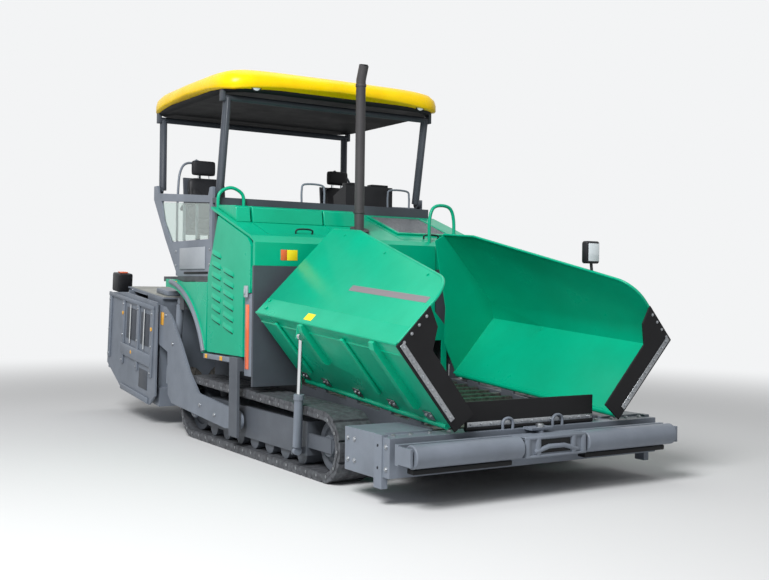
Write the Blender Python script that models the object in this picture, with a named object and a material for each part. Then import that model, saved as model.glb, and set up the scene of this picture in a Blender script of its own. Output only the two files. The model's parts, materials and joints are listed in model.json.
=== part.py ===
"""Tracked asphalt paver: tractor with folding hopper, push rollers, conveyors, augers, raised screed and canopy.

Metres, +Z up. The machine drives towards -Y, so its right side is at -X. The origin is on the
ground under the centre of the whole machine. Run it with: blender --background --python part.py
"""

import math

import bmesh
import bpy
from mathutils import Matrix, Vector

# ---------------------------------------------------------------- driving dimensions
TOUCH = 0.0003  # gap where two solids rest on each other
CLEAR = 0.008  # running gap beside a moving panel
RIGHT, LEFT = -1, 1
SIDES = (("right", RIGHT), ("left", LEFT))

BODY_HALF = 1.25  # outer face of the side doors
DOOR_SKIN = 0.03
PLATE = 0.012

# crawler
TRACK_OUTER = 1.19  # outer face of a track
TRACK_WIDTH = 0.305
TRACK_BELT = 0.07  # chain and shoe together
SHOE_COUNT = 42
SHOE_GROOVE = 0.022
IDLER_Y, IDLER_RADIUS = -1.87, 0.27  # radii out to the shoe's face
SPROCKET_Y, SPROCKET_RADIUS = 0.72, 0.30
ROLLER_RADIUS = 0.085
ROLLER_COUNT = 7

# chassis and conveyor tunnel
SILL_HALF = 0.80  # outer face of the chassis sides
SILL_WALL = 0.03
CHASSIS_BOTTOM = 0.28
CHASSIS_FRONT, CHASSIS_REAR = -2.72, 1.10
HOPPER_TILT = math.radians(4.0)  # hopper floor and wings slope down to the front
BULKHEAD_Y = -0.74
BULKHEAD_WALL = 0.03
TUNNEL_TOP = 1.12
CONVEYOR_THICK = 0.05
CONVEYOR_HALF_GAP = 0.07
SLAT_PITCH = 0.16
SLAT_HEIGHT, SLAT_WIDTH = 0.022, 0.04

# hopper wings
HINGE_X, HINGE_REAR_Y, HINGE_REAR_Z = 0.79, -0.82, 0.67
HINGE_RISE = 0.13  # hinge line above the conveyor bed
HINGE_BAR_RADIUS = 0.022
WING_SADDLES_Y, WING_SADDLE_LENGTH = (-1.05, -1.55, -2.05, -2.45), 0.16
WING_LENGTH = 2.15
WING_LOWER = 0.76  # width of the lower panel, hinge to knuckle
WING_LOWER_ANGLE = math.radians(50.0)
WING_UPPER_ANGLE = math.radians(134.0)
WING_UPPER = 1.00
WING_SKIN = 0.012
WING_CORNER = 0.22
FLAP_THICK = 0.015

# cylinders that lift the wings, in the wing's own frame at rest: across and up from the hinge
WING_CYLINDER_Y = -0.76
WING_CYLINDER_FOOT = (0.445, -0.42)
WING_CYLINDER_EYE = (0.455, 0.47)
WING_BARREL_LENGTH, WING_BARREL_RADIUS = 0.44, 0.036
WING_ROD_RADIUS = 0.018

# front frame and push rollers
DECK_TOP = 0.47
FRONT_FACE_Y = -2.90
FRONT_HALF = 1.25
APRON_HALF, APRON_HEIGHT, APRON_Y = 0.60, 0.19, -2.86
PUSH_AXIS_Y, PUSH_AXIS_Z = -3.085, 0.37
PUSH_RADIUS = 0.08
PUSH_ROLLER_IN, PUSH_ROLLER_OUT = 0.30, 1.205
PUSH_BAR_FRONT, PUSH_BAR_REAR = -2.99, -2.95

# engine bay
HOOD_REAR_Y, HOOD_REAR_Z = 0.20, 2.19
HOOD_FRONT_Y, HOOD_FRONT_Z = -0.66, 1.90
COWL_BOTTOM = 1.64
HOOD_HALF = 1.24
LID_IN, LID_OUT = 0.32, 1.04
LID_FRONT_Y, LID_REAR_Y = -0.60, 0.15
HOOD_SKIN = 0.025
ENGINE_HALF, ENGINE_Y, ENGINE_TOP = 0.42, (-0.60, 0.10), 1.74
DOOR_FRONT_Y, DOOR_REAR_Y, DOOR_BOTTOM = -0.69, 0.23, 0.86
DOOR_HINGE_RADIUS = 0.0115
DOOR_HINGES_Z = (1.44, 1.53)
DOOR_HINGE_Y = BULKHEAD_Y + BULKHEAD_WALL / 2 + DOOR_HINGE_RADIUS
FENDER_CENTRE = (1.25, 0.45)
FENDER_OUTER, FENDER_BAND = 1.07, 0.075
EXHAUST_X, EXHAUST_Y = -0.045, -0.45
EXHAUST_RADIUS, EXHAUST_TOP = 0.045, 3.54

# operator's platform
DASH_Y, DASH_WALL, DASH_TOP = 0.25, 0.06, 2.28
FLOOR_Z, FLOOR_THICK = 1.50, 0.05
PLATFORM_HALF = 1.18
PLATFORM_REAR = 1.56
SIDE_WALL = 0.03
SEAT_X, SEAT_Y = 0.80, 1.16
SEAT_HEIGHT = 2.12
CONSOLE_X, CONSOLE_Y = (0.30, 0.86), (0.40, 0.66)
CONSOLE_RAIL_Z = 2.02

# canopy
POST_X = 1.145
POST_SIDE = 0.07
FRONT_POST_FOOT, FRONT_POST_TOP = (0.33, 2.34), (0.18, 3.20)
REAR_POST_FOOT, REAR_POST_TOP = (1.84, 2.46), (1.84, 3.20)
ROOF_HALF = 1.21
ROOF_FRONT, ROOF_REAR = -0.06, 2.02
ROOF_LOW_Z, ROOF_EDGE_Z, ROOF_CROWN_Z = 3.24, 3.33, 3.50
ROOF_CORNER, ROOF_SKIN = 0.12, 0.028

# screed, drawn level and then raised about the tow points
TOW_Y, TOW_Z = -0.415, 0.30
SCREED_LIFT = math.radians(5.5)
ARM_IN, ARM_OUT = 1.198, 1.222
TOW_BRACKET_OUT = 1.2477
TOW_POST_OUT = 1.275
TOW_POST_Y, TOW_POST_Z = (-0.50, -0.33), (0.16, 0.85)
SCREED_FRONT, SCREED_REAR = 1.60, 2.08
SCREED_HALF = 1.195
SCREED_SOLE, SCREED_BASE, SCREED_DECK = 0.006, 0.20, 1.14
SCREED_WALL = 0.016
EXTENSION_REAR = 2.62
WALKWAY_REAR = 3.168
END_PLATE_IN, END_PLATE_OUT = 1.240, 1.262

# cylinders that raise the screed, (y, z) of their pins
LIFT_X = 1.155
LIFT_FOOT, LIFT_EYE = (1.15, 1.30), (1.24, 0.60)
LIFT_BARREL_LENGTH, LIFT_BARREL_RADIUS, LIFT_ROD_RADIUS = 0.42, 0.036, 0.017
EYE_HALF, EYE_RADIUS = 0.018, 0.034  # half the width of every cylinder eye, and its radius

# augers
AUGER_Y, AUGER_Z, AUGER_RADIUS = 1.30, 0.46, 0.17
AUGER_IN, AUGER_OUT = 0.115, 1.06
AUGER_TURNS, AUGER_FLIGHT = 3.0, 0.014


# ---------------------------------------------------------------- finishes
FINISHES = {  # name: (red, green, blue), roughness, metallic
    "green": ((0.0, 0.38, 0.22), 0.35, 0.0),
    "yellow": ((0.95, 0.62, 0.0), 0.35, 0.0),
    "grey": ((0.16, 0.17, 0.19), 0.45, 0.0),
    "dark_grey": ((0.06, 0.065, 0.075), 0.5, 0.0),
    "steel": ((0.55, 0.55, 0.55), 0.3, 1.0),
    "rubber": ((0.012, 0.012, 0.014), 0.8, 0.0),
    "black": ((0.02, 0.02, 0.022), 0.5, 0.0),
    "seat": ((0.02, 0.02, 0.022), 0.7, 0.0),
}


def finish(name):
    """The material of that name, made the first time it is asked for."""
    material = bpy.data.materials.get(name)
    if material is None:
        colour, roughness, metallic = FINISHES[name]
        material = bpy.data.materials.new(name)
        material.use_nodes = True
        shader = material.node_tree.nodes["Principled BSDF"]
        shader.inputs["Base Color"].default_value = (*colour, 1.0)
        shader.inputs["Roughness"].default_value = roughness
        shader.inputs["Metallic"].default_value = metallic
    return material


# ---------------------------------------------------------------- shapes
def solid(points, faces, name="piece", paint=None):
    """A closed mesh object from points and faces, its faces turned outwards."""
    mesh = bpy.data.meshes.new(name)
    mesh.from_pydata([tuple(p) for p in points], [], faces)
    work = bmesh.new()
    work.from_mesh(mesh)
    bmesh.ops.recalc_face_normals(work, faces=work.faces)
    work.to_mesh(mesh)
    work.free()
    obj = bpy.data.objects.new(name, mesh)
    bpy.context.scene.collection.objects.link(obj)
    if paint:
        obj.data.materials.append(finish(paint))
    return obj


def prism(outline, axis, low, high, name="piece", paint=None):
    """An outline drawn square to one axis, in the order of the other two, and extruded along it."""
    place = {
        "X": lambda a, b, c: (c, a, b),
        "Y": lambda a, b, c: (a, c, b),
        "Z": lambda a, b, c: (a, b, c),
    }[axis]
    n = len(outline)
    points = [place(a, b, low) for a, b in outline] + [place(a, b, high) for a, b in outline]
    faces = [list(range(n)), list(range(2 * n - 1, n - 1, -1))]
    faces += [(i, (i + 1) % n, n + (i + 1) % n, n + i) for i in range(n)]
    return solid(points, faces, name, paint)


def plate(outline, origin, along, up, thickness, name="piece", paint=None):
    """An outline in the plane of along and up, extruded by thickness along their cross product."""
    along, up = Vector(along).normalized(), Vector(up).normalized()
    out = along.cross(up).normalized() * thickness
    base = [Vector(origin) + along * a + up * b for a, b in outline]
    n = len(base)
    faces = [list(range(n)), list(range(2 * n - 1, n - 1, -1))]
    faces += [(i, (i + 1) % n, n + (i + 1) % n, n + i) for i in range(n)]
    return solid(base + [p + out for p in base], faces, name, paint)


def box(low, high, name="piece", paint=None):
    outline = [(low[0], low[1]), (high[0], low[1]), (high[0], high[1]), (low[0], high[1])]
    return prism(outline, "Z", low[2], high[2], name, paint)


def side_box(side, x_in, x_out, y, z, name="piece", paint=None):
    """A box on one side of the machine, from x_in to x_out away from its middle."""
    xs = sorted((side * x_in, side * x_out))
    return box((xs[0], y[0], z[0]), (xs[1], y[1], z[1]), name, paint)


def side_prism(side, x_in, x_out, outline, name="piece", paint=None):
    """A (y, z) outline extruded across one side of the machine."""
    xs = sorted((side * x_in, side * x_out))
    return prism(outline, "X", xs[0], xs[1], name, paint)


def tube(path, radius, sides=12, name="piece", paint=None):
    """A round bar along a path of points, mitred at its bends."""
    path = [Vector(p) for p in path]
    runs = [(b - a).normalized() for a, b in zip(path, path[1:])]
    normal = runs[0].orthogonal().normalized()
    points = []
    for i, centre in enumerate(path):
        before, after = runs[max(i - 1, 0)], runs[min(i, len(runs) - 1)]
        facing = (before + after).normalized()
        normal = (normal - facing * normal.dot(facing)).normalized()
        other = facing.cross(normal)
        stretch = 1 / max(facing.dot(after), 0.5)
        bend = (after - before).normalized() if (after - before).length > 1e-6 else None
        for k in range(sides):
            turn = 2 * math.pi * k / sides
            spoke = (normal * math.cos(turn) + other * math.sin(turn)) * radius
            if bend is not None:
                spoke += bend * spoke.dot(bend) * (stretch - 1)
            points.append(centre + spoke)
    faces = [list(range(sides)), list(range(len(points) - sides, len(points)))]
    for i in range(len(path) - 1):
        for k in range(sides):
            a, b = i * sides + k, i * sides + (k + 1) % sides
            faces.append((a, b, b + sides, a + sides))
    return solid(points, faces, name, paint)


def rod(start, end, radius, sides=20, name="piece", paint=None):
    return tube([start, end], radius, sides, name, paint)


def turned(profile, centre, axis, sides=28, name="piece", paint=None):
    """A (distance along axis, radius) profile turned about an axis through centre."""
    axis = Vector(axis).normalized()
    first = axis.orthogonal().normalized()
    second = axis.cross(first)
    points = [
        Vector(centre) + axis * along + (first * math.cos(t) + second * math.sin(t)) * radius
        for along, radius in profile
        for t in (2 * math.pi * k / sides for k in range(sides))
    ]
    faces = [list(range(sides)), list(range(len(points) - sides, len(points)))]
    for i in range(len(profile) - 1):
        for k in range(sides):
            a, b = i * sides + k, i * sides + (k + 1) % sides
            faces.append((a, b, b + sides, a + sides))
    return solid(points, faces, name, paint)


def arc(centre, radius, start, end, steps):
    """Points on an arc, angles in degrees."""
    return [
        (
            centre[0] + radius * math.cos(math.radians(start + (end - start) * k / steps)),
            centre[1] + radius * math.sin(math.radians(start + (end - start) * k / steps)),
        )
        for k in range(steps + 1)
    ]


# ---------------------------------------------------------------- joining and placing
def boolean(obj, others, operation):
    """Applies a Boolean with each of the others in turn, and removes them."""
    for other in others:
        modifier = obj.modifiers.new("boolean", "BOOLEAN")
        modifier.operation = operation
        modifier.solver = "EXACT"
        modifier.object = other
        graph = bpy.context.evaluated_depsgraph_get()
        mesh = bpy.data.meshes.new_from_object(obj.evaluated_get(graph))
        obj.modifiers.clear()
        obj.data = mesh
        bpy.data.objects.remove(other)
    return obj


def fuse(name, paint, first, *others):
    """One named piece from overlapping shapes."""
    boolean(first, others, "UNION")
    first.name = name
    first.data.name = name
    first.data.materials.clear()
    first.data.materials.append(finish(paint))
    return first


def cut(obj, *cutters):
    return boolean(obj, cutters, "DIFFERENCE")


def pivot(name, location, tilt=0.0):
    """An empty on a joint's axis, tilted about X."""
    empty = bpy.data.objects.new(name, None)
    bpy.context.scene.collection.objects.link(empty)
    empty.location = location
    empty.rotation_euler = (tilt, 0, 0)
    return empty


def hang(empty, *pieces, built_at=None):
    """Parents pieces to a pivot. They were drawn about built_at, or else about the pivot itself."""
    shift = Matrix.Translation(-Vector(built_at)) if built_at is not None else Matrix()
    for piece in pieces:
        piece.data.transform(shift)
        piece.parent = empty
    return pieces


# ---------------------------------------------------------------- crawler
def track_distance():
    """Lengths of the bottom run, the arc round the sprocket, the top run and the arc round the idler."""
    span = SPROCKET_Y - IDLER_Y
    lean = 2 * math.atan2(SPROCKET_RADIUS - IDLER_RADIUS, span)
    return span, SPROCKET_RADIUS * (math.pi + lean), span, IDLER_RADIUS * (math.pi - lean), lean


def track_point(distance, inset):
    """A (y, z) point that far along the shoes' face, moved inwards by inset."""
    bottom, rear_arc, top, front_arc, lean = track_distance()
    distance %= bottom + rear_arc + top + front_arc
    if distance < bottom:
        return IDLER_Y + distance, inset
    distance -= bottom
    if distance < rear_arc:
        turn = -math.pi / 2 + distance / SPROCKET_RADIUS
        reach = SPROCKET_RADIUS - inset
        return SPROCKET_Y + reach * math.cos(turn), SPROCKET_RADIUS + reach * math.sin(turn)
    distance -= rear_arc
    up = Vector((-math.sin(lean), math.cos(lean)))
    rear = Vector((SPROCKET_Y, SPROCKET_RADIUS)) + up * (SPROCKET_RADIUS - inset)
    front = Vector((IDLER_Y, IDLER_RADIUS)) + up * (IDLER_RADIUS - inset)
    if distance < top:
        return tuple(rear.lerp(front, distance / top))
    turn = math.pi / 2 + lean + (distance - top) / IDLER_RADIUS
    reach = IDLER_RADIUS - inset
    return IDLER_Y + reach * math.cos(turn), IDLER_RADIUS + reach * math.sin(turn)


def make_track(label, side):
    """The closed loop of shoes: pads with a groove between each and the next."""
    pitch = sum(track_distance()[:4]) / SHOE_COUNT
    marks = ((0.0, SHOE_GROOVE), (0.07, 0.0), (0.50, 0.0), (0.93, 0.0), (0.999, SHOE_GROOVE))
    stations = [((shoe + share) * pitch, inset) for shoe in range(SHOE_COUNT) for share, inset in marks]
    outer = [track_point(distance, inset) for distance, inset in stations]
    inner = [track_point(distance, TRACK_BELT) for distance, _ in stations]
    xs = (side * (TRACK_OUTER - TRACK_WIDTH), side * TRACK_OUTER)
    n = len(outer)
    points = [(x, y, z) for x in xs for ring in (outer, inner) for y, z in ring]
    faces = []
    for i in range(n):
        j = (i + 1) % n
        a_out, a_in, b_out, b_in = 0, n, 2 * n, 3 * n
        faces.append((a_out + i, a_out + j, a_in + j, a_in + i))
        faces.append((b_out + j, b_out + i, b_in + i, b_in + j))
        faces.append((a_out + j, a_out + i, b_out + i, b_out + j))
        faces.append((a_in + i, a_in + j, b_in + j, b_in + i))
    return solid(points, faces, f"track_{label}", "rubber")


def wing_to_world(y, z):
    """World (y, z) of a point in the wings' own frame, which slopes down to the front."""
    c, s = math.cos(HOPPER_TILT), math.sin(HOPPER_TILT)
    return HINGE_REAR_Y + c * y - s * z, HINGE_REAR_Z + s * y + c * z


def wheel_shape(side, y, radius):
    """A sprocket or idler that fills the end of its loop."""
    middle = side * (TRACK_OUTER - TRACK_WIDTH / 2)
    rim = radius - TRACK_BELT - 0.004
    profile = [(-0.10, 0.09), (-0.06, 0.10), (-0.06, rim), (0.06, rim), (0.06, rim - 0.05)]
    profile += [(0.045, rim - 0.06), (0.045, 0.09), (0.10, 0.08)]
    return turned(profile, (middle, y, radius), (side, 0, 0), 32)


def make_track_frame(label, side):
    """The beam inside the loop with its rollers, sprocket and idler, and its stubs to the chassis."""
    middle = TRACK_OUTER - TRACK_WIDTH / 2
    low_z = TRACK_BELT + TOUCH + ROLLER_RADIUS
    first_y, last_y = IDLER_Y + 0.42, SPROCKET_Y - 0.42
    beam = side_box(side, middle - 0.12, middle + 0.12, (first_y - 0.12, last_y + 0.10), (low_z, 0.42))
    pieces = [wheel_shape(side, SPROCKET_Y, SPROCKET_RADIUS), wheel_shape(side, IDLER_Y, IDLER_RADIUS)]
    for k in range(ROLLER_COUNT):
        y = first_y + (last_y - first_y) * k / (ROLLER_COUNT - 1)
        ends = (side * (middle - 0.10), y, low_z), (side * (middle + 0.10), y, low_z)
        pieces.append(rod(*ends, ROLLER_RADIUS, 14))
    fork = (IDLER_Y - 0.06, SPROCKET_Y + 0.06)
    pieces.append(side_box(side, middle + 0.085, middle + 0.11, fork, (0.22, 0.33)))
    for y in (-1.15, 0.05):
        pieces.append(side_box(side, SILL_HALF + TOUCH, middle, (y - 0.10, y + 0.10), (0.30, 0.40)))
    foot_y, foot_z = wing_to_world(WING_CYLINDER_Y, WING_CYLINDER_FOOT[1])
    lean = EYE_RADIUS * math.sin(HOPPER_TILT)
    shelf = (foot_y + EYE_HALF + lean + TOUCH, foot_y + EYE_HALF + 0.03)
    pieces.append(side_box(side, middle, HINGE_X + WING_CYLINDER_FOOT[0] + 0.03, shelf, (foot_z - 0.03, foot_z + 0.018)))
    return fuse(f"track_frame_{label}", "grey", beam, *pieces)


def make_crawler():
    for label, side in SIDES:
        make_track(label, side)
        make_track_frame(label, side)


# ---------------------------------------------------------------- chassis
def floor_height(y):
    """Top of the conveyor bed under the slats, level behind the hopper."""
    return HINGE_REAR_Z - HINGE_RISE + min(0.0, y - HINGE_REAR_Y) * math.tan(HOPPER_TILT)


def make_chassis():
    bed = [
        (CHASSIS_FRONT, CHASSIS_BOTTOM),
        (CHASSIS_REAR, CHASSIS_BOTTOM),
        (CHASSIS_REAR, floor_height(CHASSIS_REAR)),
        (HINGE_REAR_Y, floor_height(HINGE_REAR_Y)),
        (CHASSIS_FRONT, floor_height(CHASSIS_FRONT)),
    ]
    base = prism(bed, "X", -SILL_HALF, SILL_HALF)
    rear_y = BULKHEAD_Y + BULKHEAD_WALL / 2
    low = CHASSIS_BOTTOM + 0.02
    walls = [
        side_box(side, SILL_HALF - SILL_WALL, SILL_HALF, (rear_y, CHASSIS_REAR), (low, TUNNEL_TOP))
        for _, side in SIDES
    ]
    roof = box((-SILL_HALF, rear_y, TUNNEL_TOP - SILL_WALL), (SILL_HALF, CHASSIS_REAR, TUNNEL_TOP))
    sills = []
    for _, side in SIDES:
        outline = [
            (CHASSIS_FRONT, low),
            (rear_y, low),
            (rear_y, floor_height(rear_y) + 0.085),
            (CHASSIS_FRONT, floor_height(CHASSIS_FRONT) + 0.085),
        ]
        sills.append(side_prism(side, SILL_HALF - SILL_WALL, SILL_HALF, outline))
        for y in WING_SADDLES_Y:
            ends = (y - WING_SADDLE_LENGTH, y)
            rise = HINGE_RISE - HINGE_BAR_RADIUS / math.cos(HOPPER_TILT) - TOUCH
            outline = [(e, floor_height(e) + 0.07) for e in ends]
            outline += [(e, floor_height(e) + rise) for e in reversed(ends)]
            sills.append(side_prism(side, SILL_HALF - SILL_WALL, SILL_HALF, outline))
    front = CHASSIS_FRONT + 0.10
    guard = [
        (front, floor_height(front) - 0.02),
        (CHASSIS_REAR, floor_height(CHASSIS_REAR) - 0.02),
        (CHASSIS_REAR, floor_height(CHASSIS_REAR) + 0.11),
        (HINGE_REAR_Y, floor_height(HINGE_REAR_Y) + 0.11),
        (front, floor_height(front) + 0.09),
    ]
    ridge = prism(guard, "X", -CONVEYOR_HALF_GAP, CONVEYOR_HALF_GAP)
    posts = []
    for _, side in SIDES:
        posts.append(side_box(side, TOW_BRACKET_OUT + TOUCH, TOW_POST_OUT, TOW_POST_Y, TOW_POST_Z))
        shelf = (TOW_POST_Z[1] - 0.12, TOW_POST_Z[1])
        posts.append(side_box(side, SILL_HALF - 0.01, TOW_POST_OUT, TOW_POST_Y, shelf))
    return fuse("chassis_frame", "dark_grey", base, *walls, roof, *sills, ridge, *posts)


def make_bulkhead():
    """The wall behind the hopper that closes the engine bay, with the tunnel's mouth in it."""
    low, high = BULKHEAD_Y - BULKHEAD_WALL / 2, BULKHEAD_Y + BULKHEAD_WALL / 2 - TOUCH
    wall = box((-BODY_HALF, low, 0.62), (BODY_HALF, high, COWL_BOTTOM - TOUCH))
    half = SILL_HALF + TOUCH
    mouth = box((-half, low - 0.1, 0.5), (half, high + 0.1, TUNNEL_TOP - 0.10))
    cut(wall, mouth)
    wall.name = "bulkhead"
    wall.data.materials.append(finish("dark_grey"))
    return wall


def make_hopper_wall():
    """The fixed green rear wall of the hopper, open below for the conveyors."""
    high = BULKHEAD_Y - BULKHEAD_WALL / 2 - TOUCH
    low = high - PLATE
    outline = [(-0.74, 0.66), (-0.74, 1.10), (-0.60, 1.25), (-0.60, 1.86), (0.60, 1.86), (0.60, 1.25), (0.74, 1.10), (0.74, 0.66)]
    wall = prism(outline, "Y", low, high)
    mouth = box((-0.68, low - 0.1, 0.5), (0.68, high + 0.1, 0.98))
    cut(wall, mouth)
    wall.name = "hopper_rear_wall"
    wall.data.materials.append(finish("green"))
    return wall


def make_conveyors():
    """Two slat belts lying on the bed, either side of the chain guard."""
    rear = CHASSIS_REAR - 0.02
    front = CHASSIS_FRONT + 0.10
    for label, side in SIDES:
        outline = [(front, floor_height(front) + TOUCH), (HINGE_REAR_Y, floor_height(HINGE_REAR_Y) + TOUCH)]
        outline.append((rear, floor_height(rear) + TOUCH))
        top = [(rear, floor_height(rear) + CONVEYOR_THICK)]
        y = rear - 0.05
        while y - SLAT_WIDTH > front:
            for offset, rise in ((0, 0), (0, SLAT_HEIGHT), (-SLAT_WIDTH, SLAT_HEIGHT), (-SLAT_WIDTH, 0)):
                top.append((y + offset, floor_height(y + offset) + CONVEYOR_THICK + rise))
            y -= SLAT_PITCH
        top.append((front, floor_height(front) + CONVEYOR_THICK))
        x_out = SILL_HALF - SILL_WALL - 0.02
        belt = side_prism(side, CONVEYOR_HALF_GAP + 0.005, x_out, outline + top, f"conveyor_{label}", "steel")
        belt.data.name = belt.name


# ---------------------------------------------------------------- hopper wings
def wing_directions(side):
    """Unit vectors up the lower and upper panels, in the wing's own frame."""
    lower = Vector((side * math.cos(WING_LOWER_ANGLE), 0, math.sin(WING_LOWER_ANGLE)))
    upper = Vector((side * math.cos(WING_UPPER_ANGLE), 0, math.sin(WING_UPPER_ANGLE)))
    return lower, upper


def make_wing(label, side):
    """One folding side of the hopper, drawn about the rear end of its hinge."""
    lower, upper = wing_directions(side)
    ahead = Vector((0, -1, 0))
    out = ahead.cross(lower) * -side
    knuckle = lower * WING_LOWER
    skin = WING_SKIN * side
    end = WING_LENGTH
    floor = [(0, -0.004), (end, -0.004), (end, WING_LOWER + 0.004), (0, WING_LOWER + 0.004)]
    panel = plate(floor, (0, 0, 0), ahead, lower, skin)
    outline = [(0, -0.004), (end, -0.004)]
    outline += arc((end - WING_CORNER, 0.42), WING_CORNER, 0, 78, 6)
    outline += [(0.46, WING_UPPER), (0, WING_UPPER)]
    upper_panel = plate(outline, knuckle, ahead, upper, skin)
    # the end wall that closes the wing's tub at the back
    top = knuckle + upper * (WING_UPPER - 0.01)
    inner = [(v.x, v.z) for v in (lower * 0.02, knuckle, top)]
    inner += [(top.x - side * 0.10, top.z - 0.06), (side * -0.14, 0.62), (side * -0.14, 0.30)]
    end_wall = prism(inner, "Y", -WING_SKIN, 0)
    # chamfer plate along the inside of the knuckle
    low, high = knuckle - lower * 0.09, knuckle + upper * 0.15
    width = (high - low).length
    strip = [(0, -0.01), (end, -0.01), (end, width + 0.01), (0, width + 0.01)]
    facet = plate(strip, low, ahead, (high - low).normalized(), skin * 0.8)
    # ribs under the lower panel, and the bar along the hinge
    ribs = []
    for along, reach in ((1.88, 0.62), (0.84, 0.40)):
        base = ahead * along + lower * (WING_LOWER - 0.01 - reach) - out * 0.004
        shape = [(0, 0), (reach, 0), (reach, 0.03), (reach - 0.05, 0.05), (0.03, 0.05), (0, 0.03)]
        ribs.append(plate(shape, base, lower, out, 0.06 * side))
    hinge_bar = rod((0, -0.05, 0), (0, -end + 0.05, 0), HINGE_BAR_RADIUS, 16)
    # ear that carries the cylinder's eye
    eye_x, eye_z = WING_CYLINDER_EYE
    ear_y = WING_CYLINDER_Y + EYE_HALF + TOUCH
    ear = [(eye_x - 0.03, eye_z - 0.03), (eye_x + 0.03, eye_z - 0.02), (eye_x + 0.02, eye_z + 0.10), (eye_x - 0.07, eye_z + 0.02)]
    clevis = prism([(side * x, z) for x, z in ear], "Y", ear_y, ear_y + 0.016)
    wing = fuse(f"hopper_wing_{label}", "green", panel, upper_panel, end_wall, facet, *ribs, hinge_bar, clevis)
    rim = knuckle + upper * 0.36
    flap_outline = [
        (-0.02, -0.03),
        (knuckle.x * side + 0.004, knuckle.z - 0.01),
        (rim.x * side, rim.z),
        (0.17, 0.70),
        (0.20, 0.54),
        (-0.17, 0.09),
    ]
    face = -end - TOUCH
    flap = prism([(side * x, z) for x, z in flap_outline], "Y", face - FLAP_THICK, face, f"wing_flap_{label}", "rubber")
    empty = pivot(f"wing_pivot_{label}", (side * HINGE_X, HINGE_REAR_Y, HINGE_REAR_Z), HOPPER_TILT)
    hang(empty, wing, flap)
    make_wing_cylinder(label, side, empty)


def cylinder_pair(label, foot, eye, across, barrel_length, barrel_radius, rod_radius, inside, bore_depth):
    """A bored barrel with its foot eye, and a rod that reaches that far inside it and ends in an eye."""
    foot, eye, across = Vector(foot), Vector(eye), Vector(across)
    along = (eye - foot).normalized()
    gland = foot + along * barrel_length
    barrel = rod(foot + along * 0.03, gland, barrel_radius, 18)
    collar = rod(gland - along * 0.04, gland, barrel_radius + 0.006, 18)
    foot_eye = rod(foot - across * EYE_HALF, foot + across * EYE_HALF, EYE_RADIUS, 16)
    barrel = fuse(f"{label}_barrel", "grey", barrel, collar, foot_eye)
    bore_radius = rod_radius / math.cos(math.pi / 18) + 0.0005
    cut(barrel, rod(gland - along * bore_depth, gland + along * 0.02, bore_radius, 18))
    shaft = rod(gland - along * inside, eye - along * 0.01, rod_radius, 14)
    rod_eye = rod(eye - across * EYE_HALF, eye + across * EYE_HALF, 0.03, 16)
    shaft = fuse(f"{label}_rod", "steel", shaft, rod_eye)
    return barrel, shaft


def make_wing_cylinder(label, side, empty):
    """The cylinder that lifts a wing: its foot stands beside the track, its rod carries the knuckle."""
    foot = (side * WING_CYLINDER_FOOT[0], WING_CYLINDER_Y, WING_CYLINDER_FOOT[1])
    eye = (side * WING_CYLINDER_EYE[0], WING_CYLINDER_Y, WING_CYLINDER_EYE[1])
    sizes = WING_BARREL_LENGTH, WING_BARREL_RADIUS, WING_ROD_RADIUS, 0.05, 0.36
    hang(empty, *cylinder_pair(f"wing_cylinder_{label}", foot, eye, (0, 1, 0), *sizes))


# ---------------------------------------------------------------- front end
def make_front_beam():
    """Cross beam, deck and end boxes ahead of the hopper, with the lugs of the push beam's pin."""
    rear = CHASSIS_FRONT - TOUCH
    beam = box((-FRONT_HALF, FRONT_FACE_Y, 0.20), (FRONT_HALF, rear, DECK_TOP))
    pieces = []
    for _, side in SIDES:
        pieces.append(side_box(side, SILL_HALF + TOUCH, FRONT_HALF, (rear - 0.03, rear + 0.41), (0.18, 0.485)))
        pieces.append(side_box(side, FRONT_HALF - 0.04, FRONT_HALF + 0.012, (rear - 0.10, rear), (0.12, 0.485)))
    for low in (0.262, 0.4603):
        pieces.append(box((-0.10, PUSH_BAR_FRONT, low), (0.10, FRONT_FACE_Y + 0.01, low + 0.02)))
    return fuse("front_beam", "dark_grey", beam, *pieces)


def make_push_beam():
    """The oscillating push beam, its two rollers, and the pivot pin's faces between the lugs."""
    low, high = 0.2823, 0.46
    bar = box((-1.24, PUSH_BAR_FRONT, 0.30), (1.24, PUSH_BAR_REAR, 0.44))
    pin = rod((0, -2.96, low), (0, -2.96, high), 0.028, 18)
    reach = PUSH_AXIS_Y - 0.05
    pieces = [pin, box((-PUSH_ROLLER_IN + 0.015, reach, 0.30), (PUSH_ROLLER_IN - 0.015, PUSH_BAR_REAR, 0.44))]
    for _, side in SIDES:
        pieces.append(side_box(side, PUSH_ROLLER_OUT + 0.015, 1.24, (reach, PUSH_BAR_REAR), (0.31, 0.43)))
    beam = fuse("push_beam", "grey", bar, *pieces)
    empty = pivot("push_pivot", (0, -2.96, PUSH_AXIS_Z))
    hang(empty, beam, built_at=empty.location)
    for label, side in SIDES:
        length = PUSH_ROLLER_OUT - PUSH_ROLLER_IN
        stub = 0.015 - TOUCH
        profile = [(-stub, 0.03), (0, 0.03), (0, PUSH_RADIUS - 0.006), (0.006, PUSH_RADIUS)]
        profile += [(length - 0.006, PUSH_RADIUS), (length, PUSH_RADIUS - 0.006), (length, 0.03), (length + stub, 0.03)]
        roller = turned(profile, (0, 0, 0), (side, 0, 0), 28, f"push_roller_{label}", "grey")
        roller.location = (side * PUSH_ROLLER_IN, PUSH_AXIS_Y, PUSH_AXIS_Z)


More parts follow.
